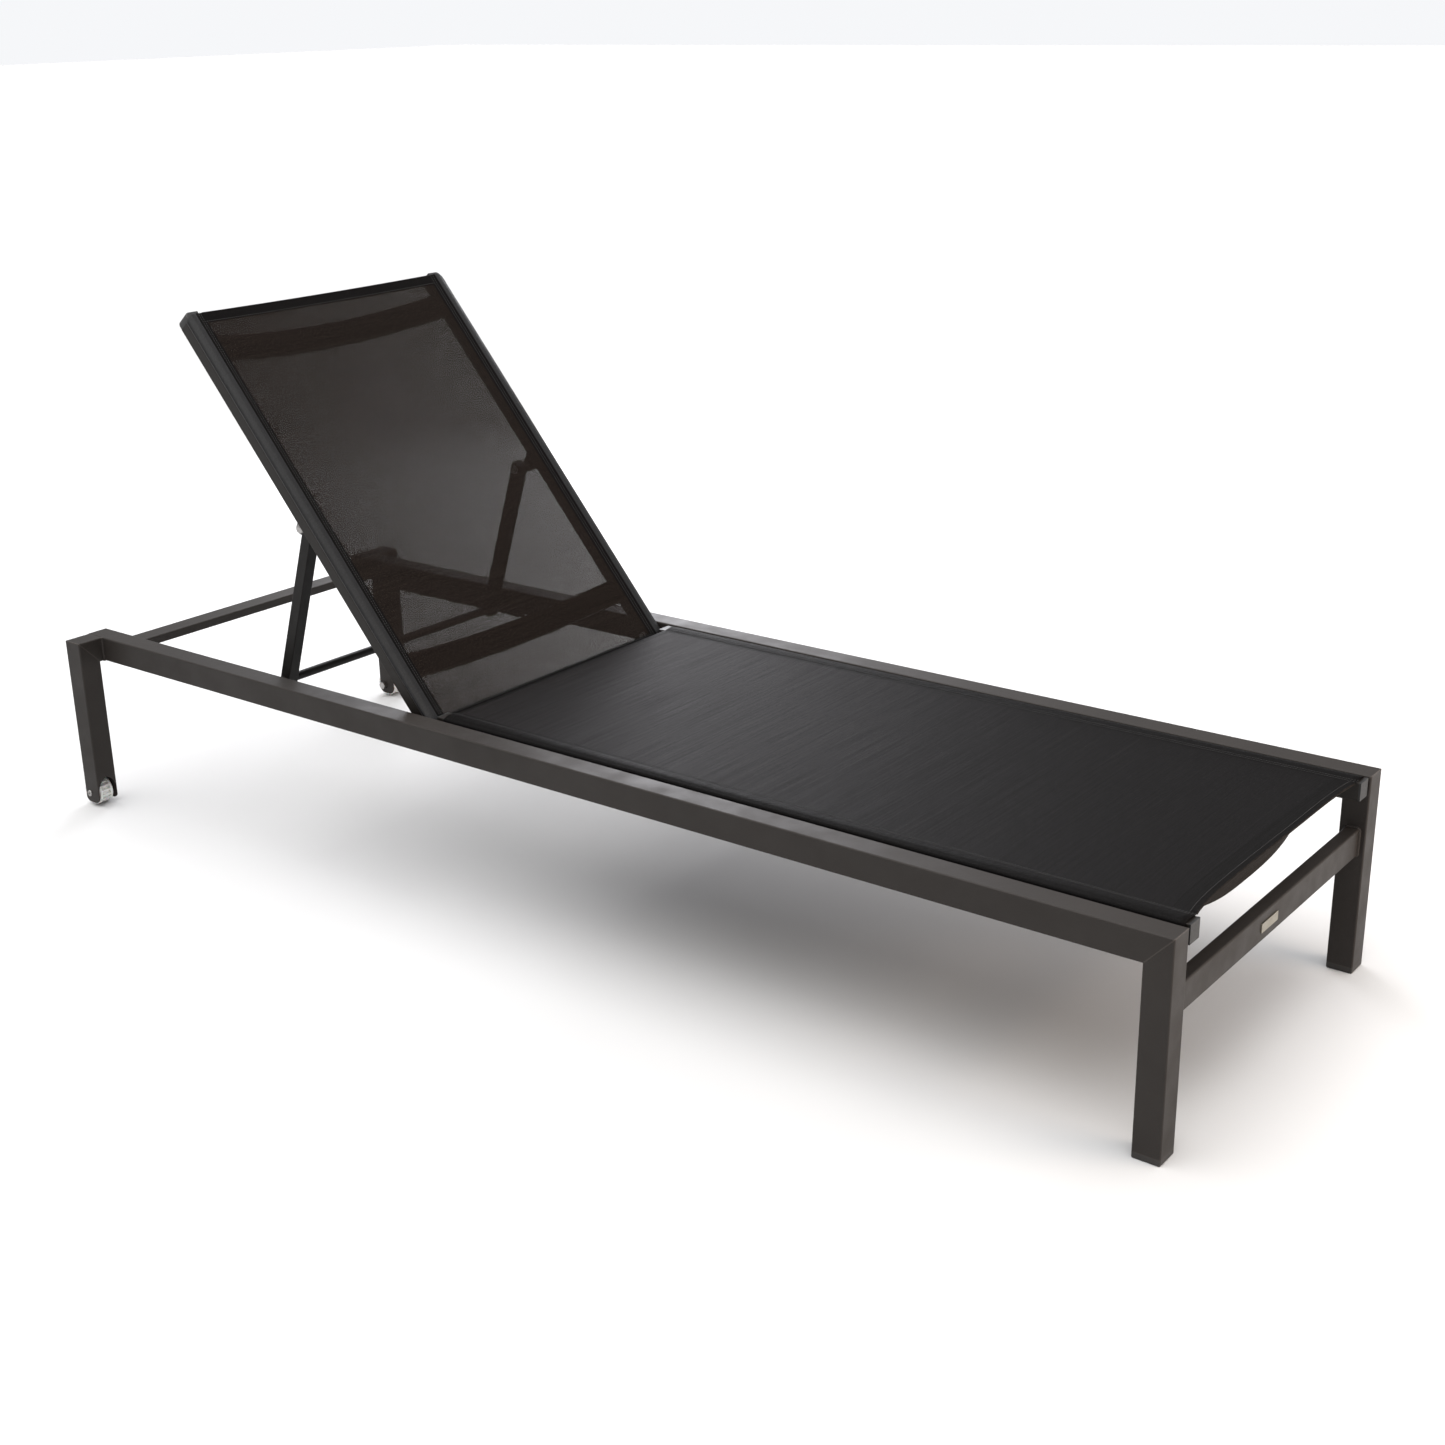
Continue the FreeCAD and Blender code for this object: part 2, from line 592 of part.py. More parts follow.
def wheel_bolt(side, sign):
    body = bolt(f"wheel_bolt_{side}", "Dim.rail_width + Dim.nut_height",
                "Dim.wheel_bolt_head_radius", "Dim.wheel_bolt_head_height")
    socket = new_sketch(body, "XY_Plane")
    circle(socket, "Dim.wheel_bolt_socket")
    cut(body, socket, "Dim.wheel_bolt_head_height", back=True)
    face = head_leg_y + size("Dim.rail_width / 2")
    put(body, head_x + size("Dim.axle_from_head"), sign * face, size("Dim.wheel_radius"),
        Rotation(V(1, 0, 0), -90 * sign))


for side, sign in SIDES.items():
    side_rail(side, sign)
    foot_leg(side, sign)
    foot_cap(side, sign)
    head_stub(side, sign)
    head_leg(side, sign)
    wheel(side, sign)
    wheel_bolt(side, sign)

wheel_nuts = []
for side, sign in SIDES.items():
    nut = hex_nut(f"wheel_nut_{side}")
    face = head_leg_y - size("Dim.rail_width / 2")
    put(nut, head_x + size("Dim.axle_from_head"), sign * face, size("Dim.wheel_radius"),
        Rotation(V(1, 0, 0), 90 * sign))
    wheel_nuts.append(nut)
group("wheel_nuts", wheel_nuts)

rail_plugs = []
for side, sign in SIDES.items():
    plug = doc.addObject("Part::Box", f"rail_plug_{side}")
    plug.setExpression("Length", "Dim.foot_cap_insert")
    plug.setExpression("Width", "Dim.rail_width - 2 * Dim.tube_wall")
    plug.setExpression("Height", "Dim.rail_height - 2 * Dim.tube_wall")
    inner_y = sign * rail_y - size("Dim.rail_width / 2 - Dim.tube_wall")
    put(plug, head_x, inner_y, rail_low_z + size("Dim.tube_wall"))
    rail_plugs.append(plug)
group("rail_plugs", rail_plugs)


# ---------------------------------------------------------------- cross tubes

def cross_tube(label, height, depth, span, drill=False):
    """A tube across the lounger, drilled for the seat rails' screws where they sit on it."""
    body = rect_tube(label, height, depth, span)
    if drill:
        holes = new_sketch(body, "YZ_Plane")
        inset = "(Dim.sling_gap + Dim.sling_rail_width / 2)"
        circle(holes, "Dim.screw_radius + Dim.screw_clearance", "0", inset)
        circle(holes, "Dim.screw_radius + Dim.screw_clearance", "0", f"{span} - {inset}")
        cut(body, holes)
    return body


def bowed_tube(label, height, depth, span, bow):
    """A tube across the lounger like cross_tube's, bent so that its middle dips by a bow."""
    body = new_body(label)
    section = new_sketch(body, "XY_Plane")
    radius = f"({span} ^ 2 / (8 * {bow}) + {bow} / 2)"
    section.AttachmentOffset = Placement(V(size(f"{radius} - {bow}"), 0, size(f"{span} / 2")), Rotation())
    rectangle(section, height, depth, f"-{radius}", "0")
    rectangle(section, f"{height} - 2 * Dim.tube_wall", f"{depth} - 2 * Dim.tube_wall", f"-{radius}", "0")
    bend = body.newObject("PartDesign::Revolution", body.Name + "_bend")
    bend.Profile = section
    bend.ReferenceAxis = (section, ["V_Axis"])
    bend.Angle = math.degrees(2 * math.asin(size(f"({span} / 2 + Dim.spare) / {radius}")))
    bend.Midplane = True
    doc.recompute()
    fillet(body, bend, "Dim.tube_round", lambda edge: (
        edge.BoundBox.ZLength > size(span) and any(
            abs(abs(point.y) - size(f"{depth} / 2")) < 1e-4 for point in edge.discretize(3))))
    doc.recompute()
    for low, high in (("-4 * Dim.spare", "0"), (span, f"{span} + 4 * Dim.spare")):
        end = new_sketch(body, "XZ_Plane")
        rectangle(end, "8 * Dim.bar_height", f"{high} - ({low})", "0", f"(({low}) + ({high})) / 2")
        cut(body, end)
    return body


BETWEEN_RAILS = "(Dim.frame_width - 2 * Dim.rail_width)"
bar_z = rail_low_z + size("Dim.bar_height / 2")
head_bar = cross_tube("head_crossbar", "Dim.bar_height", "Dim.rail_width", BETWEEN_RAILS)
put(head_bar, head_x + size("Dim.rail_width / 2"), -rail_inner_y, bar_z, ACROSS)

foot_bar = cross_tube("foot_crossbar", "Dim.foot_bar_height", "Dim.foot_bar_depth", BETWEEN_RAILS)
foot_bar_face = foot_x - size("Dim.foot_bar_inset")
put(foot_bar, foot_bar_face - size("Dim.foot_bar_depth / 2"), -rail_inner_y,
    size("Dim.foot_bar_middle"), ACROSS)

SEAT_BARS = ("head", "middle", "foot")
seat_bar_x = []
for count, name in enumerate(SEAT_BARS):
    bar = cross_tube(f"seat_crossbar_{name}", "Dim.bar_height", "Dim.bar_width", BETWEEN_RAILS, True)
    seat_bar_x.append(head_x + size(f"Dim.seat_bar_first + {count} * Dim.seat_bar_pitch"))
    put(bar, seat_bar_x[-1], -rail_inner_y, bar_z, ACROSS)

name_plate = new_body("name_plate")
plate_face = new_sketch(name_plate, "YZ_Plane")
rectangle(plate_face, "Dim.plate_length", "Dim.plate_height")
plate_pad = pad(name_plate, plate_face, "Dim.plate_thickness")
fillet(name_plate, plate_pad, "Dim.plate_round",
       lambda edge: abs(edge.BoundBox.XLength - size("Dim.plate_thickness")) < 1e-6)
put(name_plate, foot_bar_face, -size("Dim.plate_offset"), size("Dim.foot_bar_middle"))


# ---------------------------------------------------------------- seat

seat_length = "(Dim.seat_foot - Dim.seat_head - 2 * Dim.end_cap)"
seat_rail_x = head_x + size("Dim.seat_head + Dim.end_cap")
seat_rail_far_x = head_x + size("Dim.seat_foot - Dim.end_cap")
seat_caps, seat_screws = [], []
for side, sign in SIDES.items():
    rail = sling_rail(f"seat_rail_{side}", seat_length)
    for count in range(len(SEAT_BARS)):
        hole = new_sketch(rail, "XZ_Plane")
        along = f"Dim.seat_bar_first + {count} * Dim.seat_bar_pitch - Dim.seat_head - Dim.end_cap"
        if sign > 0:
            along = f"{seat_length} - ({along})"
        circle(hole, "Dim.screw_radius", "0", along)
        cut(rail, hole, "Dim.sling_rail_wall + Dim.sling_rail_round")
    start = seat_rail_far_x if side == "left" else seat_rail_x
    put(rail, start, sign * sling_rail_y, sling_rail_z, half_turned(side).multiply(ALONG))

    keder = doc.addObject("Part::Cylinder", f"seat_keder_{side}")
    keder.Label = f"seat_keder_{side}"
    keder.setExpression("Radius", "Dim.keder_radius")
    keder.setExpression("Height", "Dim.seat_sling_foot - Dim.seat_sling_head")
    keder_y = sling_rail_y + size("Dim.sling_rail_width / 2 - Dim.groove_depth")
    put(keder, head_x + size("Dim.seat_sling_head"), sign * keder_y,
        sling_rail_z + size("Dim.groove_level"), Rotation(V(0, 1, 0), 90))
    nodes.append(keder)

    for end_x in (seat_rail_x - size("Dim.end_cap"), seat_rail_far_x):
        cap = doc.addObject("Part::Box", f"seat_cap_{side}")
        cap.setExpression("Length", "Dim.end_cap")
        cap.setExpression("Width", "Dim.sling_rail_width")
        cap.setExpression("Height", "Dim.sling_rail_height")
        put(cap, end_x, sign * sling_rail_y - size("Dim.sling_rail_width / 2"), sling_rail_z)
        seat_caps.append(cap)

    for x in seat_bar_x:
        shank = doc.addObject("Part::Cylinder", "screw_shank")
        shank.setExpression("Radius", "Dim.screw_radius")
        shank.setExpression("Height", "Dim.screw_length")
        head = doc.addObject("Part::Cone", "screw_head")
        head.setExpression("Radius1", f"Dim.screw_head_radius * {SCREW_TAPER}")
        head.setExpression("Radius2", "Dim.screw_head_radius")
        head.setExpression("Height", "Dim.screw_head_height")
        head.Placement.Base = V(0, 0, -size("Dim.screw_head_height"))
        screw = doc.addObject("Part::Fuse", "screw")
        screw.Base, screw.Tool = shank, head
        put(screw, x, sign * sling_rail_y, rail_low_z)
        seat_screws.append(screw)
group("seat_rail_caps", seat_caps)
group("seat_rail_screws", seat_screws)

seat_sling = sling("seat_sling", "Dim.seat_sling_foot - Dim.seat_sling_head")
put(seat_sling, head_x + size("Dim.seat_sling_head"), 0, sling_rail_z, ALONG)


# ---------------------------------------------------------------- backrest

back_length = "(Dim.back_foot - Dim.back_head - Dim.back_cap - Dim.end_cap)"
back_rail_x = head_x + size("Dim.back_head + Dim.back_cap")
back_rail_far_x = head_x + size("Dim.back_foot - Dim.end_cap")
between_back_rails = "(Dim.frame_width - 2 * (Dim.rail_width + Dim.sling_gap + Dim.sling_rail_width))"
back_inner_y = size(f"{between_back_rails} / 2")

bottom_caps = []
for side, sign in SIDES.items():
    rail = sling_rail(f"back_rail_{side}", back_length)
    hole = new_sketch(rail, "YZ_Plane")
    along = "Dim.hinge_from_head - Dim.back_head - Dim.back_cap"
    if sign > 0:
        along = f"{back_length} - ({along})"
    above = "Dim.hinge_height - Dim.frame_height + Dim.sling_rail_height"
    circle(hole, "Dim.bolt_radius + Dim.running_gap", above, along)
    cut(rail, hole)
    start = back_rail_far_x if side == "left" else back_rail_x
    put(rail, start, sign * sling_rail_y, sling_rail_z, half_turned(side).multiply(ALONG), BACK)

    cap = new_body(f"back_rail_cap_{side}")
    face = new_sketch(cap, "XY_Plane")
    rectangle(face, "Dim.sling_rail_width", "Dim.sling_rail_height")
    cap_pad = pad(cap, face, "Dim.back_cap")
    doc.recompute()
    outer_x = -sign * size("Dim.sling_rail_width / 2")
    shoulder = fillet(cap, cap_pad, "Dim.back_cap_round", lambda edge: (
        edge.BoundBox.ZMin > size("Dim.back_cap") - 1e-6 and abs(edge.BoundBox.Center.x - outer_x) < 1e-6))
    doc.recompute()
    fillet(cap, shoulder, "Dim.cap_edge", lambda edge: (
        edge.BoundBox.ZMin > size("Dim.back_cap") - 1e-6 and edge.BoundBox.XLength > 1))
    put(cap, back_rail_x, sign * sling_rail_y, sling_rail_z + size("Dim.sling_rail_height / 2"),
        Rotation(V(0, 0, 1), 180).multiply(ALONG), BACK)

    plug = doc.addObject("Part::Box", f"back_bottom_cap_{side}")
    plug.setExpression("Length", "Dim.end_cap")
    plug.setExpression("Width", "Dim.sling_rail_width")
    plug.setExpression("Height", "Dim.sling_rail_height")
    put(plug, back_rail_far_x, sign * sling_rail_y - size("Dim.sling_rail_width / 2"), sling_rail_z,
        UPRIGHT, BACK)
    bottom_caps.append(plug)

    keder = doc.addObject("Part::Cylinder", f"back_keder_{side}")
    keder.Label = f"back_keder_{side}"
    keder.setExpression("Radius", "Dim.keder_radius")
    keder.setExpression("Height", "Dim.back_sling_foot - Dim.back_sling_head")
    keder_y = sling_rail_y + size("Dim.sling_rail_width / 2 - Dim.groove_depth")
    put(keder, head_x + size("Dim.back_sling_head"), sign * keder_y, sling_rail_z + size("Dim.groove_level"),
        Rotation(V(0, 1, 0), 90), BACK)
    nodes.append(keder)
group("back_rail_bottom_caps", bottom_caps)

for name in ("lower", "upper"):
    bar = bowed_tube(f"back_crossbar_{name}", "Dim.bar_height", "Dim.bar_width", between_back_rails,
                     "Dim.back_bar_bow")
    put(bar, head_x + size(f"Dim.back_bar_{name}"), -back_inner_y,
        sling_rail_z + size("Dim.bar_height / 2"), ACROSS, BACK)

back_sling = sling("back_sling", "Dim.back_sling_foot - Dim.back_sling_head")
put(back_sling, head_x + size("Dim.back_sling_head"), 0, sling_rail_z, ALONG, BACK)

hinge_bushes, hinge_nuts = [], []
for side, sign in SIDES.items():
    pin = bolt(f"hinge_bolt_{side}",
               "Dim.sling_rail_width + Dim.sling_gap + Dim.tube_wall + Dim.nut_height + Dim.side_gap")
    put(pin, hinge.x, sign * (back_inner_y - size("Dim.side_gap")), hinge.z,
        Rotation(V(1, 0, 0), 90 * sign))

    bush = ring(f"hinge_bush_{side}", "Dim.bush_radius", "Dim.bolt_radius", "Dim.sling_gap - Dim.side_gap")
    put(bush, hinge.x, sign * rail_inner_y, hinge.z, Rotation(V(1, 0, 0), 90 * sign))
    hinge_bushes.append(bush)

    nut = hex_nut(f"hinge_nut_{side}")
    put(nut, hinge.x, sign * (rail_inner_y + size("Dim.tube_wall")), hinge.z,
        Rotation(V(1, 0, 0), -90 * sign))
    hinge_nuts.append(nut)
group("hinge_bushes", hinge_bushes)
group("hinge_nuts", hinge_nuts)


# ---------------------------------------------------------------- prop and racks

def prop_lug(side, sign):
    """The plate behind a back rail that carries the prop's pivot, drawn round the pivot."""
    body = new_body(f"prop_lug_{side}")
    face = new_sketch(body, "XZ_Plane")
    top = "(Dim.pivot_below - Dim.hinge_height + Dim.frame_height - Dim.sling_rail_height)"
    half = "Dim.lug_length / 2"
    outline(face, [(f"-{half}", top), ("-Dim.lug_round", "0", "Dim.lug_round"),
                   ("0", "-Dim.lug_round", "Dim.lug_round"), ("Dim.lug_round", "0"), (half, top)])
    circle(face, "Dim.bolt_radius")
    pad(body, face, "Dim.lug_thickness", "Symmetric")
    put(body, pivot_flat.x, sign * lug_y, pivot_flat.z, UPRIGHT, BACK)


def prop_arm(side, sign, lean):
    """A prop arm, drawn down its own Z from the pivot end, drilled for the pivot and the rod."""
    length = "Dim.arm_length + 2 * (Dim.arm_overhang - Dim.arm_plug)"
    body = rect_tube(f"prop_arm_{side}", "Dim.arm_size", "Dim.arm_size", length, corner="Dim.arm_round")
    holes = new_sketch(body, "XZ_Plane")
    to_pivot = "(Dim.arm_overhang - Dim.arm_plug)"
    circle(holes, "Dim.bolt_radius + Dim.running_gap", "0", to_pivot)
    circle(holes, "Dim.rod_radius", "0", f"{to_pivot} + Dim.arm_length")
    cut(body, holes)
    start = pivot - lean.multVec(V(0, 0, size(to_pivot)))
    put(body, start.x, sign * arm_y, start.z, lean)


pivot = BACK.multVec(pivot_flat)
rod = rod_at(size("Dim.back_angle"), size("Dim.rod_level"))
down_arm = rod - pivot
arm_lean = Rotation(V(0, 1, 0), math.degrees(math.atan2(down_arm.x, down_arm.z)))

arm_plugs, prop_spacers, prop_nuts = [], [], []
for side, sign in SIDES.items():
    prop_lug(side, sign)
    prop_arm(side, sign, arm_lean)

    pin = bolt(f"prop_bolt_{side}", "Dim.arm_inset - Dim.lug_inset + Dim.arm_size + Dim.nut_height"
                                    " + 2 * Dim.side_gap")
    put(pin, pivot.x, sign * size("Dim.frame_width / 2 - Dim.lug_inset"), pivot.z,
        Rotation(V(1, 0, 0), -90 * sign))

    spacer = ring(f"prop_spacer_{side}", "Dim.bush_radius", "Dim.bolt_radius",
                  "Dim.arm_inset - Dim.lug_inset - Dim.lug_thickness - Dim.side_gap")
    put(spacer, pivot.x, sign * (lug_y - size("Dim.lug_thickness / 2")), pivot.z,
        Rotation(V(1, 0, 0), 90 * sign))
    prop_spacers.append(spacer)

    nut = hex_nut(f"prop_nut_{side}")
    put(nut, pivot.x, sign * (arm_y - size("Dim.arm_size / 2 + Dim.side_gap")), pivot.z,
        Rotation(V(1, 0, 0), 90 * sign))
    prop_nuts.append(nut)

    for end in ("top", "bottom"):
        plug = doc.addObject("Part::Box", f"arm_plug_{side}_{end}")
        plug.setExpression("Length", "Dim.arm_size")
        plug.setExpression("Width", "Dim.arm_size")
        plug.setExpression("Height", "Dim.arm_plug")
        along = "-Dim.arm_overhang" if end == "top" else "Dim.arm_length + Dim.arm_overhang - Dim.arm_plug"
        half = size("Dim.arm_size / 2")
        corner = pivot + arm_lean.multVec(V(-half, 0, size(along)))
        put(plug, corner.x, sign * arm_y - half, corner.z, arm_lean)
        arm_plugs.append(plug)
group("prop_arm_plugs", arm_plugs)
group("prop_spacers", prop_spacers)
group("prop_nuts", prop_nuts)

prop_rod = doc.addObject("Part::Cylinder", "prop_rod")
prop_rod.Label = "prop_rod"
prop_rod.setExpression("Radius", "Dim.rod_radius")
prop_rod.setExpression("Height", f"{BETWEEN_RAILS} - 2 * (Dim.rack_thickness + Dim.rack_gap)")
put(prop_rod, rod.x, size("Dim.rack_thickness + Dim.rack_gap") - rail_inner_y, rod.z,
    Rotation(V(1, 0, 0), -90))
nodes.append(prop_rod)


def rack(side, sign):
    """A plate on a rail's inner face with one notch for each raised angle of the back.

    A notch is round under the rod, upright towards the head and sloped towards the foot. At its
    head end the plate is lower, where the rod lies when the back is flat.
    """
    body = new_body(f"rack_{side}")
    face = new_sketch(body, "XZ_Plane")
    rods = [rod_at(angle, size("Dim.rod_level")).x for angle in RAISED_ANGLES]
    flat_rod = rod_at(0, size("Dim.rod_flat_level")).x
    radius = size("Dim.rod_radius")
    ramp = size("Dim.notch_ramp")
    rest = "Dim.rod_flat_level - Dim.rod_radius"
    corners = [(str(flat_rod - 3 * radius), "Dim.rack_bottom"),
               (str(rods[0] + radius + 2 * ramp), "Dim.rack_bottom"),
               (str(rods[0] + radius + 2 * ramp), "Dim.rack_top")]
    for x in rods:
        corners += [(str(x + radius + ramp), "Dim.rack_top"),
                    (str(x + radius), "Dim.rod_level", "-Dim.rod_radius"),
                    (str(x), "Dim.rod_level - Dim.rod_radius", "-Dim.rod_radius"),
                    (str(x - radius), "Dim.rod_level"), (str(x - radius), "Dim.rack_top")]
    corners += [(str(rods[-1] - 2 * radius), "Dim.rack_top"), (str(rods[-1] - 2.5 * radius), rest),
                (str(flat_rod - 2 * radius), rest), (str(flat_rod - 2 * radius), "Dim.rod_level"),
                (str(flat_rod - 3 * radius), "Dim.rod_level")]
    outline(face, corners)
    pad(body, face, "Dim.rack_thickness", back=sign < 0)
    put(body, 0, sign * rail_inner_y, 0)


for side, sign in SIDES.items():
    rack(side, sign)


# ---------------------------------------------------------------- checks and files

doc.recompute()
for item in doc.Objects:
    if "Invalid" in item.State or "Error" in item.State:
        raise ValueError(f"{item.Label} failed: {item.State}")

os.makedirs("parts", exist_ok=True)
for node in nodes:
    shape = node.Shape
    if shape.isNull() or not shape.isValid():
        raise ValueError(f"{node.Label} has no valid shape")
    shape.exportStep(f"parts/{node.Label}.step")
    box = shape.BoundBox
    print(f"{node.Label:24s} {len(shape.Solids)} solid(s) {shape.Volume / 1000:9.2f} cm3  "
          f"x {box.XMin:8.1f} {box.XMax:8.1f}  y {box.YMin:7.1f} {box.YMax:7.1f}  "
          f"z {box.ZMin:6.1f} {box.ZMax:6.1f}")
print(len(nodes), "nodes")
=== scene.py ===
import math

import bmesh
import bpy
from mathutils import Matrix, Vector


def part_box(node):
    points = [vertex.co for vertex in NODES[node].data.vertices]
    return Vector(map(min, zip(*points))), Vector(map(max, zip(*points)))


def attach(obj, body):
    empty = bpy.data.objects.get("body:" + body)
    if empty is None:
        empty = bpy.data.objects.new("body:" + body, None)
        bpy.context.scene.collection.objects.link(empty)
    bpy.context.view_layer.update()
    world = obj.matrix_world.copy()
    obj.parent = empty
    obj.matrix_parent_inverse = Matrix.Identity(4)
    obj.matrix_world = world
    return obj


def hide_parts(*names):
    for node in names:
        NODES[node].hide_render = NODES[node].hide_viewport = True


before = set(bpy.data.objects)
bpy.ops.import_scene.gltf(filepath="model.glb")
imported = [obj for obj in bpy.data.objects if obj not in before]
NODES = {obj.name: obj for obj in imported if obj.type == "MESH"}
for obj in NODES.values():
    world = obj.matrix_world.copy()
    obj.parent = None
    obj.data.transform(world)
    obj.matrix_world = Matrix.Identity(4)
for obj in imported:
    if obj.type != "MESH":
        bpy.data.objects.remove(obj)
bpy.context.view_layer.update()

# A reclining sun lounger: two woven slings on extruded rails, in a powder-coated tube frame.
# Lengths are metres, +X runs from the head end to the foot end and +Z up.

SIDES = {"left": 1, "right": -1}


def box(node):
    """A node's lowest and highest corners at rest, as vectors."""
    low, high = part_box(node)
    return Vector(low), Vector(high)


# ------------------------------------------------------------------ sizes

RAIL_WIDTH = 0.025          # extruded sling rail, across
RAIL_HEIGHT = 0.026         # extruded sling rail, upright
GROOVE_LEVEL = 0.0205       # rail's underside to the groove's middle
GROOVE_DEPTH = 0.0052       # rail's outer face to the groove's middle
KEDER_RADIUS = 0.003        # rod in the sling's edge
CLOTH = 0.0011              # woven sling, thick
CLOTH_GAP = 0.00015         # between the cloth and the metal under it
BACK_ANGLE = math.radians(50)

seat_rail_corner = box("seat_rail_left")[1]
HALF_SPAN = seat_rail_corner.y  # outer face of the sling rails from the centre line
INNER = HALF_SPAN - RAIL_WIDTH  # their inner face
RAIL_TOP = seat_rail_corner.z
SEAT_HEAD, SEAT_FOOT = (corner.x for corner in box("seat_sling"))
hinge_low, hinge_high = box("hinge_bolt_left")
HINGE = Vector(((hinge_low.x + hinge_high.x) / 2, 0, (hinge_low.z + hinge_high.z) / 2))
BACK_HEAD_FLAT = -0.9690    # back sling's head edge when the backrest lies flat
BACK_FOOT_FLAT = -0.2268    # its lower edge when the backrest lies flat

# The backrest is drawn lying flat and then swung up about the hinge.
RAISE = (Matrix.Translation(HINGE) @ Matrix.Rotation(BACK_ANGLE, 4, "Y")
         @ Matrix.Translation(-HINGE))

# The cloth where it wraps over a rail.
FACE_Z = RAIL_TOP + CLOTH_GAP + CLOTH / 2
FACE_Y = HALF_SPAN + 0.0015  # it stands off the rail's side a little
BEND = 0.004                # round the rail's top outer corner
CROWN = 0.0021              # it stands off the rail's top, most near the outer side
CROWN_LEAN = 0.75           # below 1 the crown lies nearer the outer side
SEAM_Y = INNER - 0.006      # inner edge of the doubled cloth along each rail
WRAP_END = INNER + 0.010    # inner edge of the back's smoother cloth over its rails, in the flat
STITCH_INNER_Y = INNER - 0.0015
STITCH_OUTER_Y = INNER + 0.0035

# The seat's free foot edge, and the back's top edge.
EDGE_PULL = 0.007           # tension draws the seat's free edge in by this much
EDGE_SLACK_PULL = 0.002     # and by this much more on the right
FLAP_TUCK = 0.005           # the loose ply starts this far behind the edge
SLACK_AT = -0.075           # where the loose ply hangs lowest
SLACK_WIDTH = 0.148         # how far it hangs loose to the right of that
SLACK_WIDTH_LEFT = 0.175
SEAT_DIP = 0.0012
CORNER_ROUND = 0.0095
TOP_PULL = 0.002
BACK_SAG = 0.0018

# A hem's fold.
FOLD_ROOM = 0.0016          # from its upper layer to its lower one
FOLD_STEPS = 5
HEM_ROWS = 6

# The wheels' moulding: a hub, a thin web, a drum and two rims.
AXLE_BORE = 0.0042
HUB_RADIUS = 0.0085
WEB_HALF = 0.0012           # half its thickness
DRUM_HALF = 0.0094          # half its width
RIM_HALF = 0.013            # half the tread's width
RIM_INNER = 0.0085          # a rim's inner side from the wheel's middle
RIB_HALF = 0.0012           # half a rib's thickness
RIB_REACH = 0.0098          # a rib's end from the wheel's middle
RIBS = 16

# Welds.
WELD_EASING = 0.002         # corners of the line round a tube
RACK_WELD = 0.025           # each short bead along a rack
RACK_WELD_PITCH = 0.075
RACK_WELD_START = 0.02


# ------------------------------------------------------------------ node helpers

class Tree:
    """Short words for adding nodes to a tree and linking them."""

    def __init__(self, tree):
        self.tree = tree

    def add(self, kind, values=None, **settings):
        node = self.tree.nodes.new(kind)
        for name, value in settings.items():
            setattr(node, name, value)
        for socket, value in (values or {}).items():
            self.put(value, node.inputs[socket])
        return node

    def put(self, value, socket):
        if isinstance(value, bpy.types.NodeSocket):
            self.tree.links.new(value, socket)
        else:
            socket.default_value = value

    def math(self, operation, first, second=None, third=None):
        node = self.add("ShaderNodeMath", operation=operation)
        for index, value in enumerate((first, second, third)):
            if value is not None:
                self.put(value, node.inputs[index])
        return node.outputs[0]

    def mix(self, factor, first, second):
        """Two colours mixed; a Mix node takes colours at its inputs 6 and 7."""
        node = self.add("ShaderNodeMix", data_type="RGBA")
        self.put(factor, node.inputs["Factor"])
        self.put(first, node.inputs[6])
        self.put(second, node.inputs[7])
        return node.outputs[2]

    def ramp(self, value, low, high, to_low=0.0, to_high=1.0):
        """A value's place between low and high, clamped and carried to the other range."""
        node = self.add("ShaderNodeMapRange", {"From Min": low, "From Max": high,
                                               "To Min": to_low, "To Max": to_high})
        self.put(value, node.inputs["Value"])
        return node.outputs[0]

    def noise(self, where, scale, detail=2.0, roughness=0.5):
        node = self.add("ShaderNodeTexNoise", {"Scale": scale, "Detail": detail,
                                               "Roughness": roughness})
        self.put(where, node.inputs["Vector"])
        return node.outputs["Fac"]

    def stretched(self, where, scale):
        node = self.add("ShaderNodeMapping", {"Scale": scale})
        self.put(where, node.inputs["Vector"])
        return node.outputs[0]

    def bump(self, height, distance, strength):
        return self.add("ShaderNodeBump", {"Distance": distance, "Strength": strength,
                                           "Height": height}).outputs[0]


def material(name, **sockets):
    """A material with one Principled shader; sockets are its fixed values."""
    made = bpy.data.materials.new(name)
    made.use_nodes = True
    made.node_tree.nodes.clear()
    tree = Tree(made.node_tree)
    shader = tree.add("ShaderNodeBsdfPrincipled",
                      {socket.replace("_", " "): value for socket, value in sockets.items()})
    out = tree.add("ShaderNodeOutputMaterial")
    tree.put(shader.outputs[0], out.inputs["Surface"])
    where = tree.add("ShaderNodeTexCoord").outputs["Object"]
    return made, tree, shader, where


def edge_highlight_mask(tree, width):
    """1 on corners sharper than the width, from the difference of two normals: where the coat gets
    its painted highlight.
    """
    soft = tree.add("ShaderNodeBevel", {"Radius": width}, samples=4).outputs[0]
    sharp = tree.add("ShaderNodeNewGeometry").outputs["Normal"]
    node = tree.add("ShaderNodeVectorMath", operation="DOT_PRODUCT")
    tree.put(soft, node.inputs[0])
    tree.put(sharp, node.inputs[1])
    return tree.ramp(node.outputs["Value"], 0.99, 0.80)


# ------------------------------------------------------------------ finishes

COAT_SPECKLE = 1300.0       # noise scale of the powder coat's speckle
EDGE_HIGHLIGHT_WIDTH = 0.0020         # width of the painted highlight along sharp corners
YARN_PITCH = 0.0016
CREASE_HIGHLIGHT_WIDTH = 0.0045       # from a painted crease highlight's middle to its edge
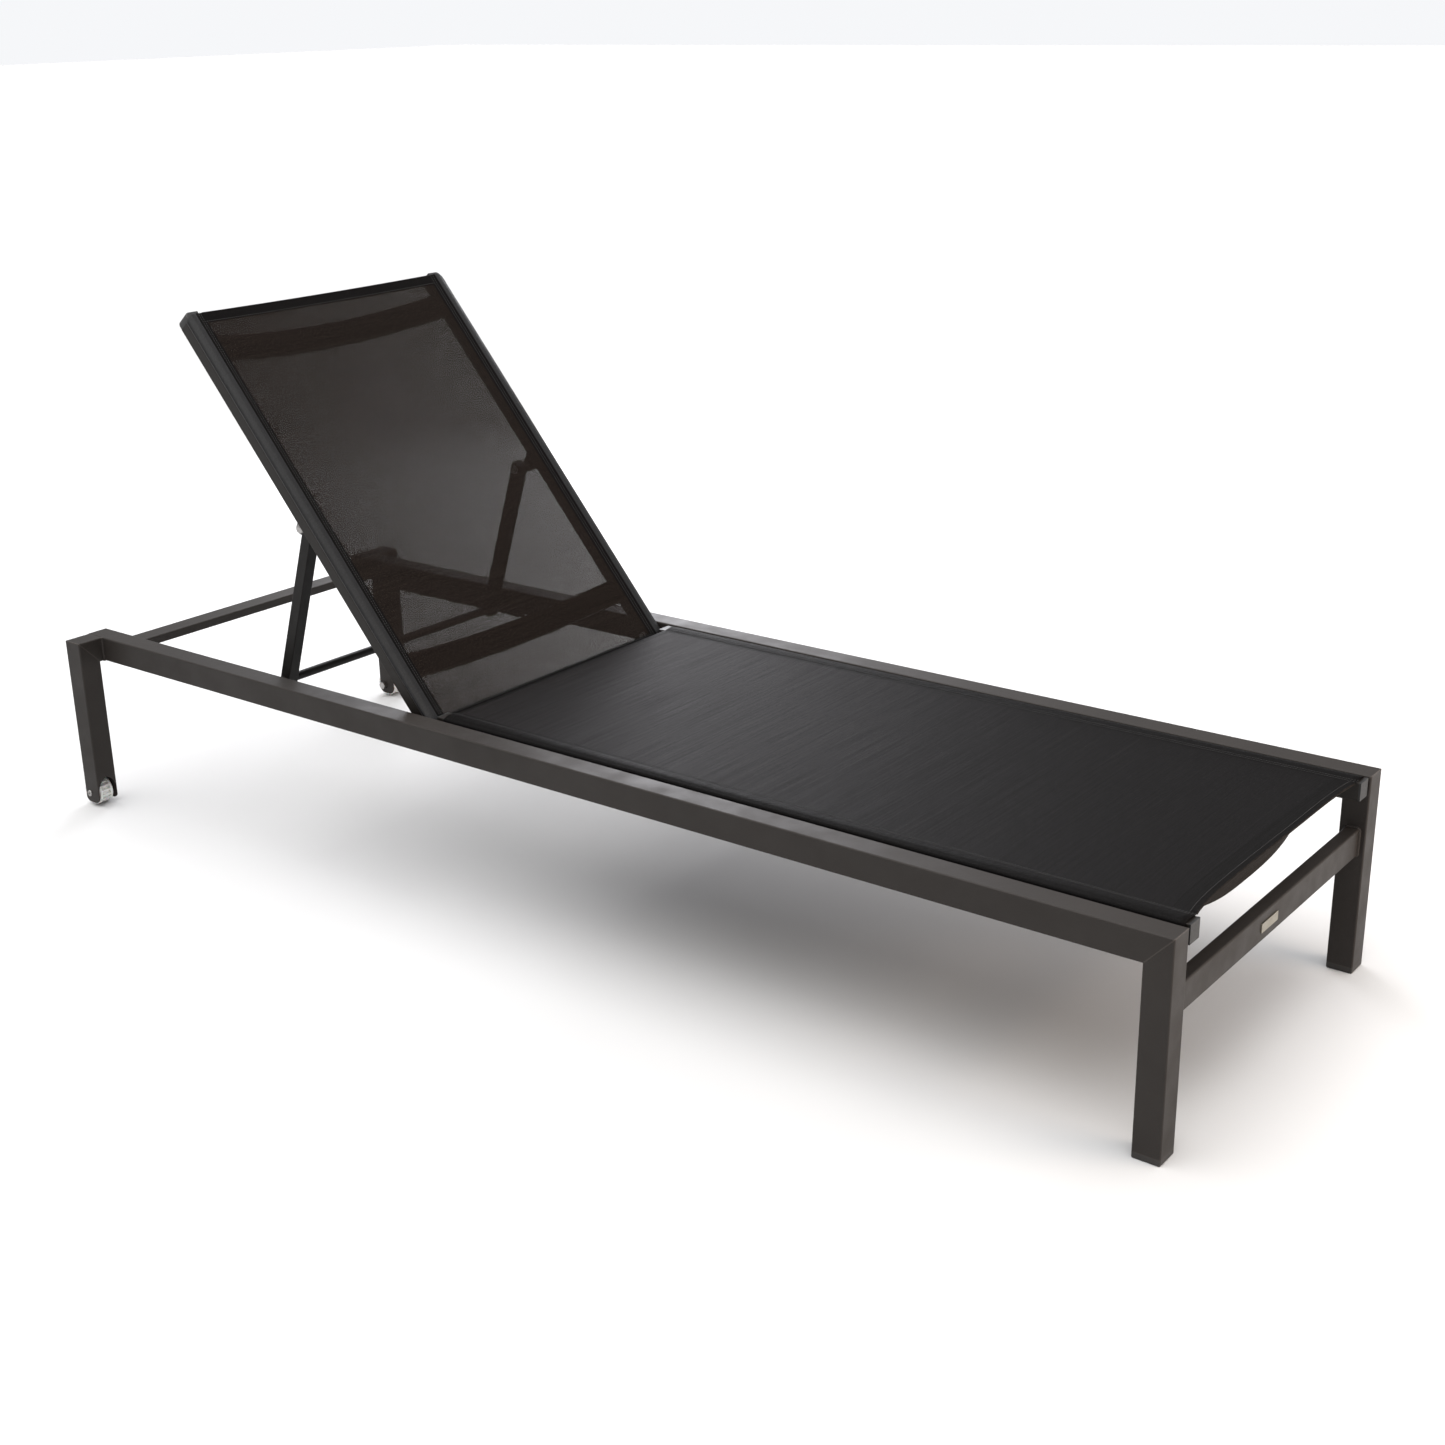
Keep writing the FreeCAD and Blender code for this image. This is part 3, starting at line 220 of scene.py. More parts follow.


def charcoal_powder_coat(name, base, lift):
    """Baked powder coat: fine orange peel, a little speckle, and a painted highlight lightening
    its sharp corners.
    """
    made, tree, shader, where = material(name, Specular_IOR_Level=0.22)
    cloudy = tree.noise(where, 7.0, 3.0)
    speckle = tree.noise(where, COAT_SPECKLE, 1.0)
    colour = tree.mix(tree.ramp(cloudy, 0.3, 0.7), (*base, 1), (*lift, 1))
    colour = tree.mix(tree.ramp(speckle, 0.58, 0.72, 0.0, 0.5), colour,
                      (*[c * 1.7 for c in lift], 1))
    # Painted highlight: sharp corners are lightened, for light caught on their rounded edges.
    edge_highlight = tree.math("MULTIPLY", edge_highlight_mask(tree, EDGE_HIGHLIGHT_WIDTH), 0.75)
    colour = tree.mix(edge_highlight, colour, (*[c * 3.2 for c in lift], 1))
    tree.put(colour, shader.inputs["Base Color"])
    rough = tree.ramp(tree.noise(where, 26.0, 3.0), 0.3, 0.7, 0.44, 0.56)
    tree.put(rough, shader.inputs["Roughness"])
    peel = tree.noise(where, COAT_SPECKLE * 0.55, 1.5)
    tree.put(tree.bump(peel, 0.00022, 0.5), shader.inputs["Normal"])
    return made


def drawn_aluminium(name, base, lift):
    """Coated extrusion: faint lines along its length under a thinner, smoother coat."""
    made, tree, shader, where = material(name, Specular_IOR_Level=0.25)
    lines = tree.noise(tree.stretched(where, (2.0, 900.0, 900.0)), 1.0, 2.0)
    speckle = tree.noise(where, 1500.0, 1.0)
    colour = tree.mix(tree.ramp(lines, 0.35, 0.65), (*base, 1), (*lift, 1))
    tree.put(colour, shader.inputs["Base Color"])
    tree.put(tree.ramp(speckle, 0.3, 0.7, 0.36, 0.5), shader.inputs["Roughness"])
    tree.put(tree.bump(tree.math("ADD", lines, speckle), 0.00012, 0.4), shader.inputs["Normal"])
    return made


def woven_cloth(name, warp, weft, openness, rough=0.5, gloss=0.03, crease_highlights=(), painted_sheen_reach=0.0):
    """Coated yarn in a plain weave, read from UV in metres: x across, y along the sling.

    The crease highlights are faint lighter lines across, painted at those distances along the
    sling. A painted sheen lightens the cloth from its head edge, down to that distance along it.
    """
    made, tree, shader, _ = material(name, Specular_IOR_Level=gloss)
    flat = tree.add("ShaderNodeUVMap", uv_map="weave").outputs[0]
    split = tree.add("ShaderNodeSeparateXYZ", {"Vector": flat})
    wobble = tree.noise(flat, 160.0, 1.0)

    def yarn(along):
        turned = tree.math("ADD", tree.math("MULTIPLY", along, 2 * math.pi / YARN_PITCH),
                           tree.math("MULTIPLY", wobble, 1.2))
        return tree.math("MULTIPLY_ADD", tree.math("COSINE", turned), 0.5, 0.5)

    across, length = yarn(split.outputs[0]), yarn(split.outputs[1])
    over = tree.math("MULTIPLY", tree.math("COSINE", tree.math(
        "MULTIPLY", split.outputs[0], math.pi / YARN_PITCH)), tree.math("COSINE", tree.math(
            "MULTIPLY", split.outputs[1], math.pi / YARN_PITCH)))
    height = tree.math("MAXIMUM", tree.math("MULTIPLY_ADD", over, 0.18, across),
                       tree.math("MULTIPLY_ADD", over, -0.18, length))
    shade = tree.ramp(height, 0.25, 0.95)
    uneven = tree.noise(tree.stretched(flat, (1.0, 60.0, 1.0)), 5.0, 2.0)
    colour = tree.mix(tree.ramp(uneven, 0.35, 0.65), (*warp, 1), (*weft, 1))
    slubs = tree.noise(flat, 430.0, 1.0)
    light = (*[c * 2.3 for c in weft], 1)
    colour = tree.mix(tree.ramp(slubs, 0.5, 0.72, 0.0, 0.75), colour, light)
    # Painted sheen: the cloth is lighter towards its head edge, for light reflected off it there.
    if painted_sheen_reach:
        colour = tree.mix(tree.ramp(split.outputs[1], 0.0, painted_sheen_reach, 0.8, 0.0), colour, light)
    # Painted highlights: a faint lighter line across the cloth at each crease.
    for crease in crease_highlights:
        aside = tree.math("ABSOLUTE", tree.math("SUBTRACT", split.outputs[1], crease))
        patchy = tree.ramp(tree.noise(flat, 22.0, 2.0), 0.4, 0.62, 0.0, 0.4)
        line = tree.math("MULTIPLY", tree.ramp(aside, 0.0, CREASE_HIGHLIGHT_WIDTH, 1.0, 0.0), patchy)
        colour = tree.mix(line, colour, light)
    colour = tree.mix(shade, tree.mix(0.75, colour, (0.004, 0.004, 0.004, 1)), colour)
    tree.put(colour, shader.inputs["Base Color"])
    tree.put(tree.ramp(uneven, 0.3, 0.7, rough - 0.06, rough + 0.06), shader.inputs["Roughness"])
    tree.put(tree.bump(height, 0.0003, 0.6), shader.inputs["Normal"])
    if openness:
        hole = tree.ramp(height, openness, openness + 0.12)
        tree.put(hole, shader.inputs["Alpha"])
    return made


def moulded_nylon(name, base, shade, rough=0.38, translucent=0.0):
    """Injection-moulded plastic with a fine spark-eroded skin."""
    made, tree, shader, where = material(name, Specular_IOR_Level=0.5,
                                         Subsurface_Weight=translucent, Subsurface_Scale=0.004)
    cloudy = tree.ramp(tree.noise(where, 60.0, 3.0), 0.35, 0.65)
    tree.put(tree.mix(cloudy, (*base, 1), (*shade, 1)), shader.inputs["Base Color"])
    tree.put(tree.ramp(tree.noise(where, 300.0), 0.3, 0.7, rough - 0.05, rough + 0.08),
             shader.inputs["Roughness"])
    tree.put(tree.bump(tree.noise(where, 1800.0, 1.0), 0.0001, 0.3), shader.inputs["Normal"])
    return made


def bright_steel(name, base=(0.42, 0.41, 0.40), rough=0.34, grain=(400.0, 400.0, 400.0)):
    """Plated steel with fine turning marks."""
    made, tree, shader, where = material(name, Metallic=1.0)
    marks = tree.noise(tree.stretched(where, grain), 1.0, 3.0)
    dull = tuple(c * 0.8 for c in base)
    tree.put(tree.mix(tree.ramp(marks, 0.35, 0.65), (*base, 1), (*dull, 1)),
             shader.inputs["Base Color"])
    tree.put(tree.ramp(marks, 0.3, 0.7, rough - 0.06, rough + 0.1), shader.inputs["Roughness"])
    tree.put(tree.bump(marks, 0.00008, 0.3), shader.inputs["Normal"])
    return made


SEAT_CREASE_HIGHLIGHTS = (0.592, 0.785, 0.880)    # painted highlights along creases, from the seat's head edge
frame_coat = charcoal_powder_coat(
    "charcoal_powder_coat", (0.0205, 0.0170, 0.0148), (0.0255, 0.0216, 0.0191))
rail_coat = drawn_aluminium(
    "sling_rail_powder_coat", (0.0095, 0.0075, 0.0060), (0.0135, 0.0110, 0.0090))
prop_coat = charcoal_powder_coat(
    "prop_powder_coat", (0.0055, 0.0047, 0.0041), (0.0080, 0.0070, 0.0062))
# The seat cloth is lightened towards its head as a painted sheen.
seat_weave = woven_cloth(
    "seat_sling_weave", (0.0048, 0.0042, 0.0042), (0.0075, 0.0067, 0.0068), openness=0.10,
    gloss=0.035, crease_highlights=SEAT_CREASE_HIGHLIGHTS, painted_sheen_reach=0.75)
back_weave = woven_cloth(
    "back_sling_weave", (0.0098, 0.0070, 0.0055), (0.0148, 0.0110, 0.0088), openness=0.42)
folded_weave = woven_cloth(
    "folded_sling_weave", (0.0034, 0.0030, 0.0029), (0.0054, 0.0048, 0.0047), openness=0.0)
wrapped_weave = woven_cloth(
    "rail_wrap_weave", (0.0065, 0.0062, 0.0064), (0.0105, 0.0101, 0.0106), openness=0.0,
    rough=0.34, gloss=0.28)
# Painted light: the ply turned under is a lighter, warmer copy of the cloth, for the warm light on
# the foot's hanging flap.
warm_lit_hem_weave = woven_cloth(
    "hem_sling_weave_painted_light", (0.012, 0.0092, 0.0076), (0.018, 0.0142, 0.0118), openness=0.0)
keder_black = moulded_nylon("keder_rod_vinyl", (0.012, 0.012, 0.012), (0.018, 0.018, 0.018))
cap_black = moulded_nylon(
    "end_cap_nylon", (0.016, 0.0155, 0.0155), (0.023, 0.022, 0.0215), rough=0.5)
foot_black = moulded_nylon(
    "foot_cap_nylon", (0.0165, 0.0138, 0.0120), (0.0205, 0.0175, 0.0155), rough=0.5)
bush_black = moulded_nylon(
    "bush_nylon", (0.0075, 0.0073, 0.0073), (0.0110, 0.0107, 0.0107), rough=0.5)
wheel_nylon = moulded_nylon(
    "wheel_nylon", (0.84, 0.84, 0.82), (0.76, 0.76, 0.74), rough=0.36, translucent=0.12)
bolt_plate = bright_steel("bolt_zinc_plate")
plate_metal = bright_steel(
    "blank_plate_brushed", (0.33, 0.305, 0.25), rough=0.38, grain=(900.0, 20.0, 20.0))
thread_black = moulded_nylon(
    "stitching_thread", (0.026, 0.025, 0.025), (0.040, 0.039, 0.039), rough=0.6)


def pairs(*names):
    """The left and right node of each name."""
    return [f"{name}_{side}" for name in names for side in SIDES]


NODE_FINISHES = {
    frame_coat: pairs("side_rail", "foot_leg", "head_stub", "head_leg", "rack")
    + ["head_crossbar", "foot_crossbar", "seat_crossbar_head", "seat_crossbar_middle",
       "seat_crossbar_foot", "back_crossbar_lower", "back_crossbar_upper"],
    prop_coat: pairs("prop_lug", "prop_arm") + ["prop_rod"],
    rail_coat: pairs("seat_rail", "back_rail"),
    foot_black: pairs("foot_cap") + ["rail_plugs"],
    cap_black: pairs("back_rail_cap") + ["back_rail_bottom_caps"],
    keder_black: pairs("seat_keder", "back_keder"),
    bush_black: ["hinge_bushes", "prop_spacers", "prop_arm_plugs", "seat_rail_caps"],
    wheel_nylon: pairs("wheel"),
    bolt_plate: pairs("wheel_bolt", "hinge_bolt", "prop_bolt")
    + ["wheel_nuts", "seat_rail_screws", "hinge_nuts", "prop_nuts"],
    plate_metal: ["name_plate"],
}
for finish, names in NODE_FINISHES.items():
    for node_name in names:
        for slot in NODES[node_name].material_slots:
            slot.material = finish


# ------------------------------------------------------------------ mesh helpers

def new_piece(name, mesh, finish, body, smooth=False):
    """A finished piece at the origin, riding on its body."""
    piece = bpy.data.objects.new(name, mesh)
    bpy.context.scene.collection.objects.link(piece)
    if finish is not None:
        mesh.materials.clear()
        mesh.materials.append(finish)
    if smooth:
        mesh.polygons.foreach_set("use_smooth", [True] * len(mesh.polygons))
    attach(piece, body)
    return piece


def woven_piece(name, rows, columns, where, layers, finishes, choose):
    """A closed sheet on a grid: rows are distances along the cloth, columns distances across.

    where(v, u, below) is a point of the cloth, below being how far under its face it lies.
    layers are extra strips of rows, folded under, each with the columns that it spans.
    choose(v, u, folded) is the place in finishes of the face there.
    """
    grid = bmesh.new()
    uv = grid.loops.layers.uv.new("weave")

    def weave(strip, span, first=None):
        """Joins a strip of (v, below) rows over a span of columns, and returns its last row."""
        before = first
        for at, (v, below) in enumerate(strip):
            if at == 0 and first is not None:
                row = first
            else:
                row = {j: grid.verts.new(where(v, columns[j], below)) for j in span}
            if at:
                v0 = strip[at - 1][0]
                for j, k in zip(span, span[1:]):
                    face = grid.faces.new((before[j], row[j], row[k], before[k]))
                    for loop, spot in zip(face.loops, ((j, v0), (j, v), (k, v), (k, v0))):
                        loop[uv].uv = (columns[spot[0]], spot[1])
                    face.smooth = True
                    face.material_index = choose((v0 + v) / 2, (columns[j] + columns[k]) / 2,
                                                 strip[at][1] > 0)
            before = row
            if at == 0:
                head = row
        return head, before

    whole = list(range(len(columns)))
    head_row, foot_row = weave([(v, 0.0) for v in rows], whole)
    for edge, strip, span in layers:
        weave(strip, span, {j: (head_row if edge == "head" else foot_row)[j] for j in span})
    mesh = bpy.data.meshes.new(name)
    bmesh.ops.recalc_face_normals(grid, faces=grid.faces)
    grid.to_mesh(mesh)
    grid.free()
    for finish in finishes:
        mesh.materials.append(finish)
    return mesh


# ------------------------------------------------------------------ slings

def sling_line():
    """Half of the cloth's line across, as (y, z): from a groove, over its rail, to the centre."""
    groove_z = RAIL_TOP - RAIL_HEIGHT + GROOVE_LEVEL
    groove_y = HALF_SPAN - GROOVE_DEPTH + KEDER_RADIUS + 0.0002
    points = [(groove_y, groove_z), (FACE_Y - 0.0016, groove_z),
              (FACE_Y - 0.0005, groove_z + 0.0006), (FACE_Y, groove_z + 0.0018)]
    points += [(FACE_Y - BEND + BEND * math.cos(math.radians(turn)),
                FACE_Z - BEND + BEND * math.sin(math.radians(turn))) for turn in range(0, 91, 15)]
    shoulder = FACE_Y - BEND
    for k in range(1, 9):
        y = shoulder - (shoulder - INNER) * k / 8
        share = (shoulder - y) / (shoulder - INNER)
        points.append((y, FACE_Z + CROWN * math.sin(math.pi * share ** CROWN_LEAN)))
    points += [(STITCH_INNER_Y, FACE_Z), (SEAM_Y, FACE_Z)]
    points += [(SEAM_Y * (1 - k / 40), FACE_Z) for k in range(1, 41)]
    return points


HALF_LINE = sling_line()
LINE = HALF_LINE + [(-y, z) for y, z in reversed(HALF_LINE[:-1])]
COLUMNS = [0.0]
for (y0, z0), (y1, z1) in zip(LINE, LINE[1:]):
    COLUMNS.append(COLUMNS[-1] + math.hypot(y1 - y0, z1 - z0))
CUT_WIDTH = COLUMNS[-1]
LINE_AT = dict(zip(COLUMNS, LINE))
BETWEEN = [j for j, (y, z) in enumerate(LINE) if abs(y) <= INNER - 0.003]


def hollow(y):
    """1 on the centre line and 0 over the rails."""
    return max(0.0, 1 - (y / INNER) ** 2)


def seat_point(v, u, below):
    """The seat lies flat and dips a little; the ply turned under its foot edge has come loose.

    That flap hangs lowest towards the right, and the edge itself is drawn in by a few mm.
    """
    y, z = LINE_AT[u]
    full = SEAT_FOOT - SEAT_HEAD
    z -= SEAT_DIP * hollow(y) * math.sin(math.pi * min(max(v / full, 0), 1)) ** 0.5
    taut = 1 - (y / INNER) ** 6 if abs(y) < INNER else 0.0
    pull = taut * (EDGE_PULL + EDGE_SLACK_PULL * (0.5 - 0.5 * math.tanh(y / 0.06)))
    if below < FOLD_ROOM - 1e-6 or v < full / 2:
        return Vector((SEAT_HEAD + v - pull * max(0.0, v / full) ** 8, y, z - below))
    along = full - v
    tucked = min(along, FLAP_TUCK)
    width = SLACK_WIDTH if y < SLACK_AT else SLACK_WIDTH_LEFT
    loose = math.exp(-abs((y - SLACK_AT) / width) ** 2.6) * min(1.0, 4 * hollow(y))
    hanging = along - tucked
    return Vector((SEAT_FOOT - pull - tucked - hanging * (0.1 + 0.8 * (1 - loose) ** 2), y,
                   z - below - hanging * loose))


def back_point(v, u, below):
    """The back is stretched flat between its rails, its top corners cut round like the caps."""
    y, z = LINE_AT[u]
    full = BACK_FOOT_FLAT - BACK_HEAD_FLAT
    into = max(0.0, abs(y) - (HALF_SPAN - CORNER_ROUND))
    inset = CORNER_ROUND - math.sqrt(max(0.0, CORNER_ROUND ** 2 - min(into, CORNER_ROUND) ** 2))
    x = BACK_HEAD_FLAT + inset + v * (full - inset) / full
    x += TOP_PULL * hollow(y) * (1 - v / full) ** 6
    sag = BACK_SAG * hollow(y) * math.sin(math.pi * min(max(v / full, 0), 1)) ** 0.5
    return RAISE @ Vector((x, y, z - sag - below))


def turned_under(v_edge, outward, depth):
    """Rows of a hem: round the fold and back under the cloth, as (v, below)."""
    radius = FOLD_ROOM / 2
    rows = [(v_edge, 0.0)]
    rows += [(v_edge + outward * radius * math.sin(math.pi * k / FOLD_STEPS),
              radius * (1 - math.cos(math.pi * k / FOLD_STEPS)))
             for k in range(1, FOLD_STEPS + 1)]
    rows += [(v_edge - outward * depth * k / HEM_ROWS, FOLD_ROOM) for k in range(1, HEM_ROWS + 1)]
    return rows


def woven_sling(name, point, length, hems, seams, count, open_weave, wrapped, body, node):
    """One sling with its hems turned under between the rails.

    hems are the depths turned under at its head and foot ends, seams the stitched lines' distances
    from those ends, and count the rows of faces along it.
    """
    hem_head, hem_foot = hems
    rows = sorted({round(length * k / count, 5) for k in range(count + 1)}
                  | {round(v, 5) for v in (0.0015, hem_head, length - hem_foot)})
    rows[-1] = length
    layers = [("head", turned_under(0.0, -1, hem_head), BETWEEN),
              ("foot", turned_under(length, 1, hem_foot), BETWEEN)]
    middle = CUT_WIDTH / 2

    def ply(v, u, folded):
        """0 for one ply, 1 where it is doubled, 2 over the rails, 3 for the ply turned under."""
        if folded:
            return 3
        across = abs(u - middle)
        if across > WRAP_END and wrapped:
            return 2
        return 1 if across > SEAM_Y or v < hem_head or v > length - hem_foot else 0

    mesh = woven_piece(name, rows, COLUMNS, point, layers,
                       [open_weave, folded_weave, wrapped_weave, warm_lit_hem_weave], ply)
    piece = new_piece(name, mesh, None, body)
    wall = piece.modifiers.new("cloth_thickness", "SOLIDIFY")
    wall.thickness = CLOTH
    wall.offset = 0.0
    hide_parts(node)
    stitching = sling_stitching(name, point, length, seams, body)
    return piece


# ------------------------------------------------------------------ node-made details

def node_group(name, inputs):
    """A Geometry Nodes tree with named inputs; returns it, its Tree and its input node."""
    group = bpy.data.node_groups.new(name, "GeometryNodeTree")
    group.interface.new_socket("Geometry", in_out="INPUT", socket_type="NodeSocketGeometry")
    for label, kind, value in inputs:
        socket = group.interface.new_socket(label, in_out="INPUT", socket_type=kind)
        if value is not None:
            socket.default_value = value
    group.interface.new_socket("Geometry", in_out="OUTPUT", socket_type="NodeSocketGeometry")
    tree = Tree(group)
    given = tree.add("NodeGroupInput")
    return group, tree, given


def finish_group(tree, given, geometry):
    """Ends a tree: real geometry, in the finish that it was given."""
    real = tree.add("GeometryNodeRealizeInstances", {"Geometry": geometry}).outputs[0]
    painted = tree.add("GeometryNodeSetMaterial",
                       {"Geometry": real, "Material": given.outputs["Finish"]})
    out = tree.add("NodeGroupOutput")
    tree.put(painted.outputs[0], out.inputs[0])


def made_by_nodes(name, source, group, values, body):
    """Runs a tree on a source mesh, keeps the result as a plain mesh on its body."""
    holder = bpy.data.objects.new(name + "_source", source)
    bpy.context.scene.collection.objects.link(holder)
    worker = holder.modifiers.new("maker", "NODES")
    worker.node_group = group
    for item in group.interface.items_tree:
        if item.in_out == "INPUT" and item.name in values:
            worker[item.identifier] = values[item.name]
    view = bpy.context.evaluated_depsgraph_get()
    mesh = bpy.data.meshes.new_from_object(holder.evaluated_get(view))
    mesh.name = name
    bpy.data.objects.remove(holder)
    return new_piece(name, mesh, None, body, smooth=True)


def stitch_nodes():
    """A row of stitches along every line of edges: short rounded dashes of thread."""
    group, tree, given = node_group("lockstitch_row", [
        ("Pitch", "NodeSocketFloat", 0.004), ("Stitch length", "NodeSocketFloat", 0.0028),
        ("Thread radius", "NodeSocketFloat", 0.0004), ("Finish", "NodeSocketMaterial", None)])
    line = tree.add("GeometryNodeMeshToCurve", {"Mesh": given.outputs["Geometry"]}).outputs[0]
    spots = tree.add("GeometryNodeCurveToPoints",
                     {"Curve": line, "Length": given.outputs["Pitch"]}, mode="LENGTH")
    dash = tree.add("GeometryNodeMeshUVSphere",
                    {"Segments": 6, "Rings": 5, "Radius": 0.5}).outputs[0]
    thick = tree.math("MULTIPLY", given.outputs["Thread radius"], 2.0)
    size = tree.add("ShaderNodeCombineXYZ", {"X": thick, "Y": thick,
                                             "Z": given.outputs["Stitch length"]}).outputs[0]
    rows = tree.add("GeometryNodeInstanceOnPoints", {
        "Points": spots.outputs["Points"], "Instance": dash, "Scale": size,
        "Rotation": spots.outputs["Rotation"]})
    finish_group(tree, given, rows.outputs[0])
    return group


def weld_nodes():
    """A weld bead along every line of edges, with the ripples of its puddles."""
    group, tree, given = node_group("weld_bead", [
        ("Radius", "NodeSocketFloat", 0.003), ("Ripple pitch", "NodeSocketFloat", 0.0024),
        ("Ripple", "NodeSocketFloat", 0.16), ("Finish", "NodeSocketMaterial", None)])
    line = tree.add("GeometryNodeMeshToCurve", {"Mesh": given.outputs["Geometry"]}).outputs[0]
    step = tree.math("DIVIDE", given.outputs["Ripple pitch"], 4.0)
    fine = tree.add("GeometryNodeResampleCurve", {"Curve": line, "Length": step},
                    mode="LENGTH").outputs[0]
    along = tree.add("GeometryNodeSplineParameter").outputs["Length"]
    wave = tree.math("SINE", tree.math("DIVIDE", tree.math("MULTIPLY", along, 2 * math.pi),
                                       given.outputs["Ripple pitch"]))
    swell = tree.math("MULTIPLY_ADD", wave, given.outputs["Ripple"], 1.0)
    ring = tree.add("GeometryNodeCurvePrimitiveCircle",
                    {"Resolution": 8, "Radius": given.outputs["Radius"]}, mode="RADIUS").outputs[0]
    bead = tree.add("GeometryNodeCurveToMesh", {"Curve": fine, "Profile Curve": ring,
                                                "Scale": swell, "Fill Caps": True}).outputs[0]
    finish_group(tree, given, bead)
    return group


def lines_mesh(name, lines):
    """A mesh of loose edges along each line of points; one that ends at its start is closed."""
    points, edges = [], []
    for line in lines:
        closed = (Vector(line[0]) - Vector(line[-1])).length < 1e-6
        first = len(points)
        kept = line[:-1] if closed else line
        points += [tuple(point) for point in kept]
        edges += [(first + k, first + k + 1) for k in range(len(kept) - 1)]
        if closed:
            edges.append((len(points) - 1, first))
    mesh = bpy.data.meshes.new(name)
    mesh.from_pydata(points, edges, [])
    return mesh


STITCH_GROUP = stitch_nodes()
WELD_GROUP = weld_nodes()


def sling_stitching(name, point, length, seams, body):
    """A seam over each rail, one just inside it and one along each hem, on the cloth's face."""
    on_face = -(CLOTH / 2 + 0.0001)
    lines = []
    for y in (STITCH_OUTER_Y, STITCH_INNER_Y):
        for target in (y, -y):
            u = min(COLUMNS, key=lambda column: abs(LINE_AT[column][0] - target)
                    + abs(LINE_AT[column][1] - FACE_Z))
            lines.append([point(length * k / 240, u, on_face) for k in range(241)])
    for v in (seams[0], length - seams[1]):
        lines.append([point(v, COLUMNS[j], on_face) for j in BETWEEN])
    return made_by_nodes(name.replace("_cloth", "_stitching"), lines_mesh(name + "_lines", lines),
                         STITCH_GROUP, {"Finish": thread_black}, body)


woven_sling("seat_sling_cloth", seat_point, SEAT_FOOT - SEAT_HEAD, hems=(0.010, 0.030),
            seams=(0.008, 0.008), count=110, open_weave=seat_weave, wrapped=False,
            body="frame", node="seat_sling")
woven_sling("back_sling_cloth", back_point, BACK_FOOT_FLAT - BACK_HEAD_FLAT, hems=(0.018, 0.007),
            seams=(0.016, 0.005), count=90, open_weave=back_weave, wrapped=True,
            body="backrest", node="back_sling")


# ------------------------------------------------------------------ wheels

def turned_ring(mesh, centre, outline, steps=72):
    """Adds a closed outline of (radius, across) points, turned about the wheel's axle."""
    rings = [[mesh.verts.new(centre + Vector((r * math.cos(a), w, r * math.sin(a))))
              for r, w in outline] for a in [2 * math.pi * k / steps for k in range(steps)]]
    for k in range(steps):
        first, second = rings[k], rings[(k + 1) % steps]
        for j in range(len(outline)):
            face = mesh.faces.new((first[j], first[(j + 1) % len(outline)],
                                   second[(j + 1) % len(outline)], second[j]))
            face.smooth = True


def ribbed_wheel(side):
    """A moulded wheel: hub, thin web, drum and two rims, joined across by ribs."""
    low, high = box(f"wheel_{side}")
    centre = (low + high) / 2
    radius, hub_half = (high.z - low.z) / 2, (high.y - low.y) / 2
    mesh = bmesh.new()
    hub = [(AXLE_BORE, hub_half), (HUB_RADIUS - 0.0012, hub_half), (HUB_RADIUS, hub_half - 0.0012),
           (HUB_RADIUS, WEB_HALF), (radius - 0.0060, WEB_HALF), (radius - 0.0058, DRUM_HALF),
           (radius - 0.0040, DRUM_HALF)]
    turned_ring(mesh, centre, hub + [(r, -w) for r, w in reversed(hub)])
    for face_side in (1, -1):
        rim = [(radius - 0.005, RIM_INNER), (radius - 0.005, 0.0122), (radius - 0.0042, RIM_HALF),
               (radius - 0.0014, RIM_HALF), (radius - 0.0004, RIM_HALF - 0.0010), (radius, 0.0105),
               (radius, 0.0092), (radius - 0.0006, RIM_INNER)]
        turned_ring(mesh, centre, [(r, face_side * w) for r, w in rim])
    near, far = HUB_RADIUS - 0.0006, radius - 0.0007
    for k in range(RIBS):
        turn = Matrix.Rotation(2 * math.pi * (k + 0.5) / RIBS, 4, "Y")
        a, b, c, d = [[mesh.verts.new(centre + turn @ Vector((r, w, t)))
                       for t in (-RIB_HALF, RIB_HALF)]
                      for r, w in ((near, -RIB_REACH), (far, -RIB_REACH), (far, RIB_REACH),
                                   (near, RIB_REACH))]
        for quad in ((a[0], b[0], c[0], d[0]), (a[1], d[1], c[1], b[1]), (a[0], a[1], b[1], b[0]),
                     (b[0], b[1], c[1], c[0]), (c[0], c[1], d[1], d[0]), (d[0], d[1], a[1], a[0])):
            mesh.faces.new(quad)
    bmesh.ops.recalc_face_normals(mesh, faces=mesh.faces)
    moulding = bpy.data.meshes.new(f"wheel_moulding_{side}")
    mesh.to_mesh(moulding)
    mesh.free()
    piece = new_piece(f"wheel_moulding_{side}", moulding, wheel_nylon, f"wheel_{side}")
    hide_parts(f"wheel_{side}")


for side in SIDES:
    ribbed_wheel(side)


# ------------------------------------------------------------------ welds

def round_a_tube(low, high, y):
    """The closed line round a cross tube's section where it meets a face, its corners eased."""
    ease = WELD_EASING
    return [Vector((x, y, z)) for x, z in (
        (low.x + ease, low.z), (high.x - ease, low.z), (high.x, low.z + ease),
        (high.x, high.z - ease), (high.x - ease, high.z), (low.x + ease, high.z),
        (low.x, high.z - ease), (low.x, low.z + ease), (low.x + ease, low.z))]


